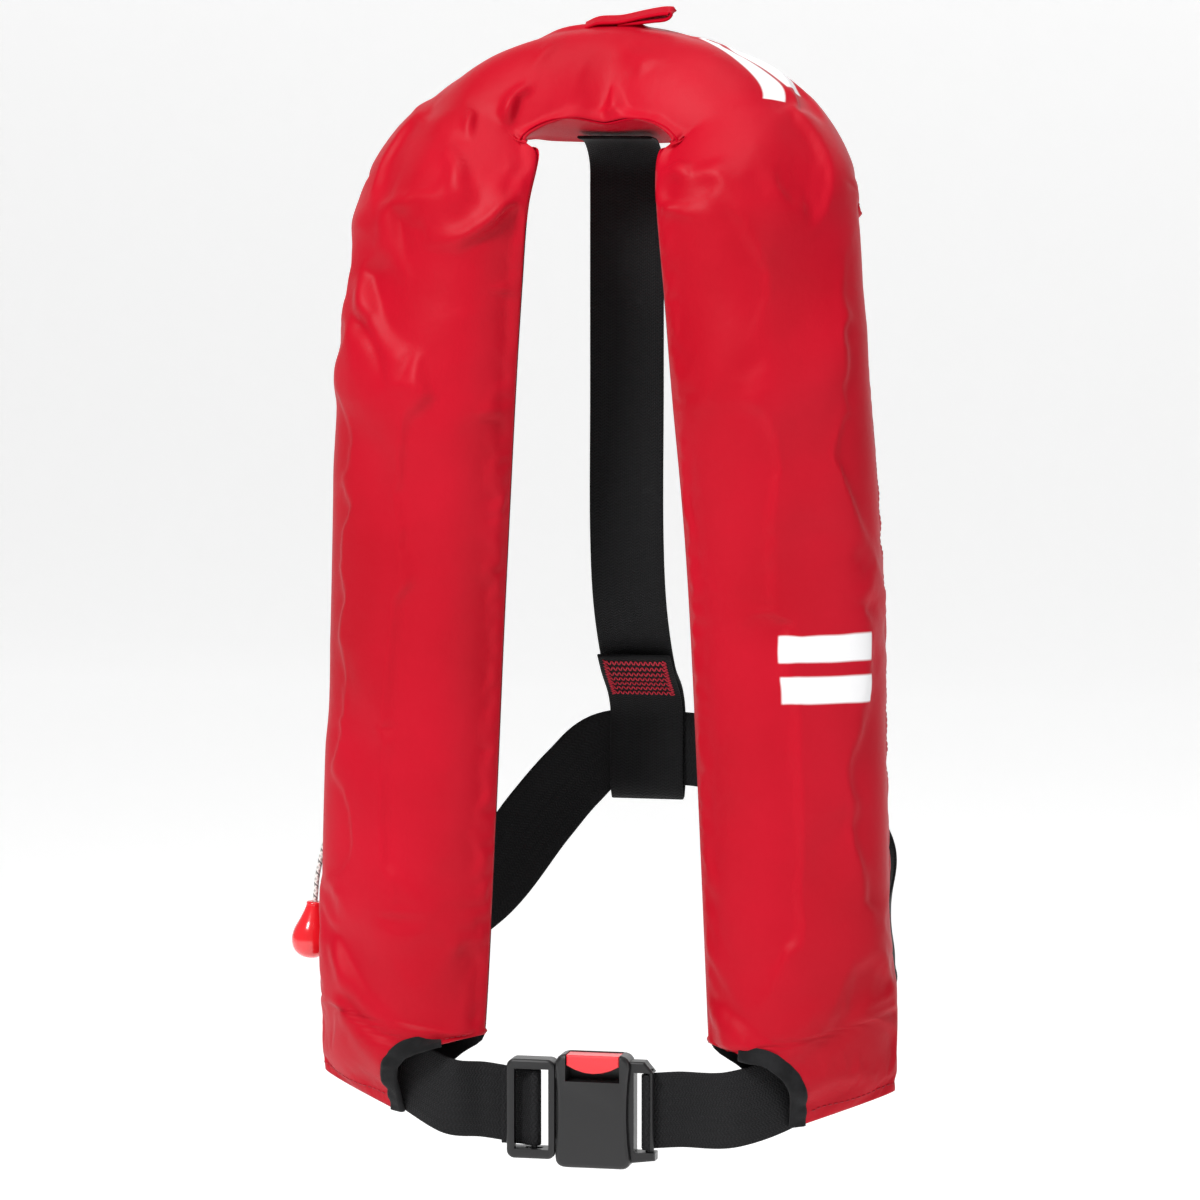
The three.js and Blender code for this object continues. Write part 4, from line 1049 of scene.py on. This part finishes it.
zigzag = pile()
for row in range(7):
    back = 5 + row * 4.6
    points = []
    for k in range(24):
        points.append(on_fold(back + (1.5 if k % 2 else -1.5), -14.5 + 29 * k / 23))
    tube("row", spline(points, 0.9), 0.34, thread_red, sides=6, join=zigzag)
for x in (-15.5, 15.5):
    points = [on_fold(3 + k * 1.2 + (0.5 if k % 2 else 0), x + (0.9 if k % 2 else -0.9)) for k in range(27)]
    tube("side", spline(points, 0.9), 0.34, thread_red, sides=6, join=zigzag)
from_pile("strap_zigzag", zigzag, thread_red)
print("strap length", len(strap_line), "mm")

# %% [markdown]
# ## The waist belt
# It comes out of the buckle's housing, runs inside the wearer's left lobe, leaves through a slit in the
# lining, crosses the back through the strap's fold and returns into the other lobe.

# %% Belts
BUCKLE_Y = -64
BUCKLE_Z = HEM_Z + 5
BAR_X = 29.6
ADJUSTER_X = -29
SLOT_Z = HEM_Z + 54


def inside_lobe(side, q, h, z):
    at = Band(number_at(side, max(z, HEM_Z + 6))).point(q, h)
    return (at[0], at[1], z)


def slot_point(side, lift):
    band = Band(number_at(side, SLOT_Z))
    at = band.point(32, lift - band.thick)
    return (at[0], at[1], SLOT_Z)


def wrap(x, radius, start, end, turns):
    angles = np.radians(np.linspace(start, end, turns + 1))
    return [(x + radius * math.cos(a), BUCKLE_Y + radius * math.sin(a), BUCKLE_Z) for a in angles]


belt_line = [
    *wrap(BAR_X, 3.45, -80, -280, 8), (BAR_X + 14, BUCKLE_Y + 4.2, BUCKLE_Z + 1),
    inside_lobe(1, -38, 0, BUCKLE_Z + 3), inside_lobe(1, -8, -0.6, HEM_Z + 18),
    inside_lobe(1, 18, -6, HEM_Z + 40),
    slot_point(1, 1), slot_point(1, -10),
    (134, 16, SLOT_Z + 24), (129, 42, SLOT_Z + 57), (96, 66, BELT_Z - 26), (46, 75, BELT_Z - 5),
    (22, BELT_Y, BELT_Z - 1), (-22, BELT_Y, BELT_Z - 2),
    (-38, 71, BELT_Z - 16), (-54, 61, BELT_Z - 36), (-78, 42, SLOT_Z + 45), (-110, 16, SLOT_Z + 19),
    slot_point(-1, -10), slot_point(-1, 1), inside_lobe(-1, 18, -6, HEM_Z + 40),
]
TURN_START = 21
turned = {
    TURN_START: (-0.2, 0, 1), TURN_START + 1: (-0.6, 0, 0.8), TURN_START + 2: (-0.7, 0, 0.7),
    TURN_START + 3: (-0.6, 0, 0.8), TURN_START + 4: (-0.3, 0, 0.95),
}
belt_piece = ribbon("waist_webbing", [(*p, *turned.get(i, (0, 0, 1))) for i, p in enumerate(belt_line)],
                    WEB, WEB_THICK, webbing, step=2.0)
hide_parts("waist_belt")

front_line = [
    inside_lobe(-1, 0, -0.8, HEM_Z + 22), inside_lobe(-1, -38, 0, BUCKLE_Z + 4),
    (-56, BUCKLE_Y + 5, BUCKLE_Z + 2), (-38, BUCKLE_Y + 4.6, BUCKLE_Z),
    *wrap(ADJUSTER_X, 2.85, 80, -80, 8), (-37, BUCKLE_Y + 1.6, BUCKLE_Z), (-46, BUCKLE_Y + 2, BUCKLE_Z),
]
front_stops = [(*p, 0, 0, 1) for p in front_line]
front_piece = ribbon("front_webbing", front_stops, WEB, WEB_THICK, webbing, body=None, step=1.5)
front_start = Vector([x * MM for x in inside_lobe(-1, -38, 0, BUCKLE_Z + 4)])
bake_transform(front_piece)
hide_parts("front_belt")
print("belts", len(belt_piece.data.vertices), len(front_piece.data.vertices))

# %% [markdown]
# ## Seams and stitches
# A stitch is a short thread that dips at both ends. Rows of them are laid on the cloth's own grid, so
# they follow every crease: round the hem, down the outer edge and beside each mouth.

# %% Stitch rows
cloth_out = -normals_of(folded)
if cloth_out[COVER_ROWS // 2, COVER_COLUMNS // 2].dot(nape_up) < 0:
    cloth_out = -cloth_out


def on_cloth(row, column, lift=0.0):
    """A point on the cover at a fractional row and column of its grid."""
    i, j = int(min(row, COVER_ROWS - 1.001)), int(min(column, COVER_COLUMNS - 1.001))
    a, b = row - i, column - j
    weights = ((i, j, (1 - a) * (1 - b)), (i + 1, j, a * (1 - b)),
               (i, j + 1, (1 - a) * b), (i + 1, j + 1, a * b))
    at = sum(folded[x, y] * w for x, y, w in weights)
    out = unit(sum(cloth_out[x, y] * w for x, y, w in weights))
    return at + out * lift


def stitch_row(made, line, pitch=3.0, radius=0.22):
    """Stitches along a list of points that already lie just above the cloth."""
    line = np.array(line)
    run = np.concatenate([[0], np.cumsum(np.linalg.norm(np.diff(line, axis=0), axis=1))])
    for start in np.arange(0.4, run[-1] - pitch, pitch):
        at = np.linspace(start, start + pitch * 0.74, 5)
        points = np.stack([np.interp(at, run, line[:, k]) for k in range(3)], 1)
        swell = [radius * 0.5, radius, radius * 1.05, radius, radius * 0.5]
        tube("stitch", points, swell, thread_dark, sides=5, join=made)


def rows_near(low, high, side):
    """Rows of the cover whose distance up its centre line lies between two heights."""
    place = np.linspace(0, CLOTH_LENGTH, COVER_ROWS)
    from_hem = place if side > 0 else CLOTH_LENGTH - place
    return [i for i in range(COVER_ROWS) if low <= from_hem[i] <= high]


seams = pile()
last_column = COVER_COLUMNS - 1
for side in (1, -1):
    hem_row = 3.6 if side > 0 else COVER_ROWS - 1 - 3.6
    stitch_row(seams, [on_cloth(hem_row, c, 0.25) for c in np.linspace(13, last_column - 3, 90)])
    outer = rows_near(8, 600, side)
    stitch_row(seams, [on_cloth(i, last_column - 4, 0.08) for i in outer])
    mouth = rows_near(2, MOUTH_HIGH + 4, side)
    stitch_row(seams, [on_cloth(i, 6.4, 0.25) for i in mouth])
seam_piece = from_pile("cover_stitches", seams, thread_dark)
print("stitch faces", len(seam_piece.data.polygons))

# %% [markdown]
# ## Mouth bindings
# The cut edge of each mouth is wrapped in black tape. It is a flat ribbon folded over the edge, so a
# flattened tube is enough, and its width lies across the cloth.

# %% Bindings
def binding(name, side):
    stops = []
    for i in rows_near(0, MOUTH_HIGH - 0.5, side)[:: 1 if side > 0 else -1]:
        at = on_cloth(i, 2.2, -0.6)
        across_way = unit(on_cloth(i, 5, 0) - on_cloth(i, 0, 0))
        stops.append((*at, *across_way))
    piece = ribbon(name, stops, 9.0, 3.0, binding_cloth, step=1.2)
    return piece


binding_left = binding("binding_left", 1)
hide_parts("mouth_binding_left")
binding_right = binding("binding_right", -1)
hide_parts("mouth_binding_right")

# %% [markdown]
# ## The hanging loop
# A strip of the cover's own cloth, folded double and sewn to the top of the collar. It has flopped over
# to the wearer's left, and its two runs lie a little apart.

# %% Hanging loop
def ridge(x):
    """The top of the collar near a sideways position."""
    flat_rows = folded[COVER_ROWS // 3 : 2 * COVER_ROWS // 3].reshape(-1, 3)
    near = flat_rows[np.abs(flat_rows[:, 0] - x) < 2.5]
    return near[near[:, 2].argmax()]


root, under = ridge(-14), ridge(8)
lie = (0, 0.94, 0.34)
loop_stops = [
    (*(root + vec(-6, 0, -1.5)), *lie), (*(root + vec(0, 0, 1.0)), *lie),
    (*(root + vec(12, -1, 1.8)), *lie), (*(under + vec(6, -1, 4.2)), *lie),
    (*(under + vec(15, -1, 5.6)), *lie), (*(under + vec(19, -1, 5.2)), *lie),
    (*(under + vec(17, -1, 3.0)), *lie), (*(under + vec(9, -1, 1.8)), *lie),
    (*(under + vec(2, -1, 1.0)), *lie), (*(under + vec(-8, 0, 0.2)), *lie),
]
loop_piece = ribbon("hanging_loop", loop_stops, 11, 1.5, red_cloth_plain, step=1.0)
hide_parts("hang_loop")
print("loop root", [round(float(x)) for x in root], "tip side", [round(float(x)) for x in under])

# %% [markdown]
# ## The pull cord
# A thin braided cord ties the handle to the lever inside. It leaves through a slit at the outer seam,
# under a black flap. It is limp, and it hangs down beside the lobe, leaning out a little.

# %% Cord and flap
lever_x = vec(-0.9003, 0.4301, 0.0668)
lever_y = vec(-0.4321, -0.9016, -0.0190)
lever_z = vec(0.0521, -0.0459, 0.9976)
lever_at = vec(-101.71, -48.24, -283)


def at_eye(x, y):
    return lever_at + lever_x * (24.6 + x) + lever_y * (y - 0.05) + lever_z * -57


def outside(beyond, rise, z):
    band = Band(number_at(-1, z))
    at = band.point(band.half + beyond, rise - band.thick)
    return vec(at[0], at[1], z)


TILT = math.radians(6)
tilt_up = vec(math.sin(TILT), 0, math.cos(TILT))
cord_end = outside(15, 9, SLIT_Z - 56)
cord_stops = [
    at_eye(0, 4.6), at_eye(0, 0), at_eye(0, -4), at_eye(4, -6.6),
    outside(-6, 6.8, SLIT_Z + 4), outside(3, 4.6, SLIT_Z + 2), outside(7.4, 5.6, SLIT_Z - 8),
    cord_end + tilt_up * 20, cord_end + tilt_up * 10, cord_end,
]
cord_line = spline(cord_stops, 0.8)
cord_piece = tube("pull_lanyard", cord_line, 1.3, cord_braid, body="handle", sides=14)
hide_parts("pull_cord")


def lathe(name, profile, place, tilt, material, body, sides=40):
    """Turns (radius, height) pairs round Z, tilts the result about Y and puts it in place."""
    turn = np.linspace(0, 2 * math.pi, sides, endpoint=False)
    c, s = math.cos(tilt), math.sin(tilt)
    points = []
    for r, z in profile:
        for a in turn:
            x, y = r * math.cos(a), r * math.sin(a)
            points.append(vec(x * c + z * s, y, z * c - x * s) + place)
    uvs = [(a, z * MM) for r, z in profile for a in turn]
    faces = grid_faces(len(profile), sides, wrap=True)
    return finish_mesh(name, np.array(points) * MM, faces, uvs, material, body)


# The handle is a moulded drop: a collar round the cord, a thin neck and a full round end.
drop_stops = [
    (0.02, -29, 0), (4.6, -28.3, 0), (8.2, -25.4, 0), (9.9, -20.4, 0), (9.2, -15, 0), (6.6, -9, 0),
    (4.7, -4, 0), (4.1, -1.6, 0), (4.2, -0.7, 0), (3.6, 0, 0), (1.5, 0, 0), (1.45, -2.5, 0),
]
drop = spline(drop_stops, 0.7)[:, :2]
handle_piece = lathe("pull_drop", drop, cord_end + vec(math.sin(TILT), 0, math.cos(TILT)) * 6, TILT,
                     handle_plastic, "handle")
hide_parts("pull_handle")

# The whistle hangs beside the oral tube on a short cord of its own, inside the cover.
tube_x = vec(-0.9071, -0.4140, -0.0760)
tube_y = vec(0.4165, -0.9089, -0.0198)
tube_z = vec(-0.0609, -0.0496, 0.9969)
tube_at = vec(97.92, -50.45, -197)


def by_tube(x, y, z):
    return tube_at + tube_x * x + tube_y * y + tube_z * z


whistle_line = spline([by_tube(-24, -11.2, -17.5), by_tube(-22, -8.8, -23), by_tube(-27, -2.8, -34),
                       by_tube(-25, -3.8, -43.5), by_tube(-25, -8.8, -44), by_tube(-25, -13.4, -44)], 0.6)
whistle_piece = tube("whistle_lanyard", whistle_line, 1.0, cord_braid, sides=12)
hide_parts("whistle_cord")

flap_rows = []
for k in range(17):
    z = SLIT_Z + 20 - 4.5 * k
    band = Band(number_at(-1, z))
    row = [(-12, -1.9), (-4, -1.9), (1, -1.9), (3.2, -0.7), (4.2, 1.4)]
    flap_rows.append([band.point(band.half + q, h - 0.6 - band.thick) for q, h in row])
flap_piece = sheet("cord_flap", np.array(flap_rows), lining, 0.9, subdivide=2)
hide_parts("cord_exit_flap")

# %% [markdown]
# ## Finishes for the hard parts
# The buckle, inflator and oral tube keep their CAD shapes and get moulded, plated or turned finishes.

# %% Hard finishes
finish_of = {
    "buckle_housing": buckle_plastic, "buckle_tongue": buckle_plastic, "adjuster_bar": buckle_plastic,
    "buckle_button": button_plastic, "pull_handle": handle_plastic, "pull_lever": handle_plastic,
    "inflator_body": moulded("inflator_plastic", (0.02, 0.02, 0.022), 0.45, 0.12),
    "oral_tube_cap": moulded("cap_plastic", (0.02, 0.02, 0.022), 0.5, 0.12),
    "capsule_cap": moulded("green_plastic", (0.03, 0.30, 0.08), 0.35, 0.08),
    "salt_capsule": moulded("white_plastic", (0.80, 0.80, 0.77), 0.45, 0.08),
    "oral_tube": moulded("tube_rubber", (0.03, 0.03, 0.03), 0.7, 0.2),
    "manifold_gasket": moulded("gasket_rubber", (0.02, 0.02, 0.02), 0.75, 0.2),
    "oral_valve": moulded("valve_plastic", (0.8, 0.8, 0.78), 0.4, 0.05),
    "whistle": moulded("whistle_plastic", (0.80, 0.22, 0.02), 0.3, 0.05, 0.3),
    "gas_cylinder": metal("plated_steel", (0.60, 0.61, 0.63), 0.28),
    "piercing_pin": metal("pin_steel", (0.60, 0.60, 0.62), 0.25),
    "lever_pin": metal("lever_steel", (0.60, 0.60, 0.62), 0.25),
    "manifold_valve": metal("turned_brass", (0.70, 0.50, 0.22), 0.3),
    "manifold_cap_nut": metal("nut_brass", (0.72, 0.52, 0.24), 0.25),
    "closure_loop_tape": black_cloth("loop_tape", 0.0012),
    "closure_hook_tape": moulded("hook_tape", (0.42, 0.006, 0.02), 0.7, 0.6, 0.0, 1500),
}
for node, finish in finish_of.items():
    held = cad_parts[node].data.materials
    held.clear()
    held.append(finish)
print("hard finishes on", len(finish_of), "parts")

# %% [markdown]
# ## The floor
# The jacket stands in the air as on an unseen form. A pale floor lies well below and curves up behind
# as a sweep, so the backdrop has no edge.

# %% Studio sweep
def studio_sweep():
    floor_z, back_y, bend = -0.70, 4.4, 1.0
    profile = [(-5.0, floor_z), (0.0, floor_z), (back_y - bend, floor_z)]
    for a in np.linspace(0, math.pi / 2, 16)[1:]:
        profile.append((back_y - bend + bend * math.sin(a), floor_z + bend - bend * math.cos(a)))
    profile.append((back_y, 5.0))
    points = [(x, y, z) for y, z in profile for x in np.linspace(-6, 6, 9)]
    board = Board("studio_paper")
    tooth = board.noise(220, 4, 0.6)
    base = board.colour(tooth.ramp(0.3, 0.8), rgba(0.86, 0.86, 0.86), rgba(0.90, 0.90, 0.90))
    # The paper glows a little, so that it stays pale this far away.
    board.skin.inputs["Emission Strength"].default_value = 0.47
    paper = board.finish(Base_Color=base, Roughness=0.9, Emission_Color=base,
                         Normal=board.bump(tooth, 0.05, 0.0005))
    uvs = [(x, y) for x, y, z in points]
    piece = finish_mesh("studio_sweep", points, grid_faces(len(profile), 9), uvs, paper, body=None)
    return piece


studio_sweep()
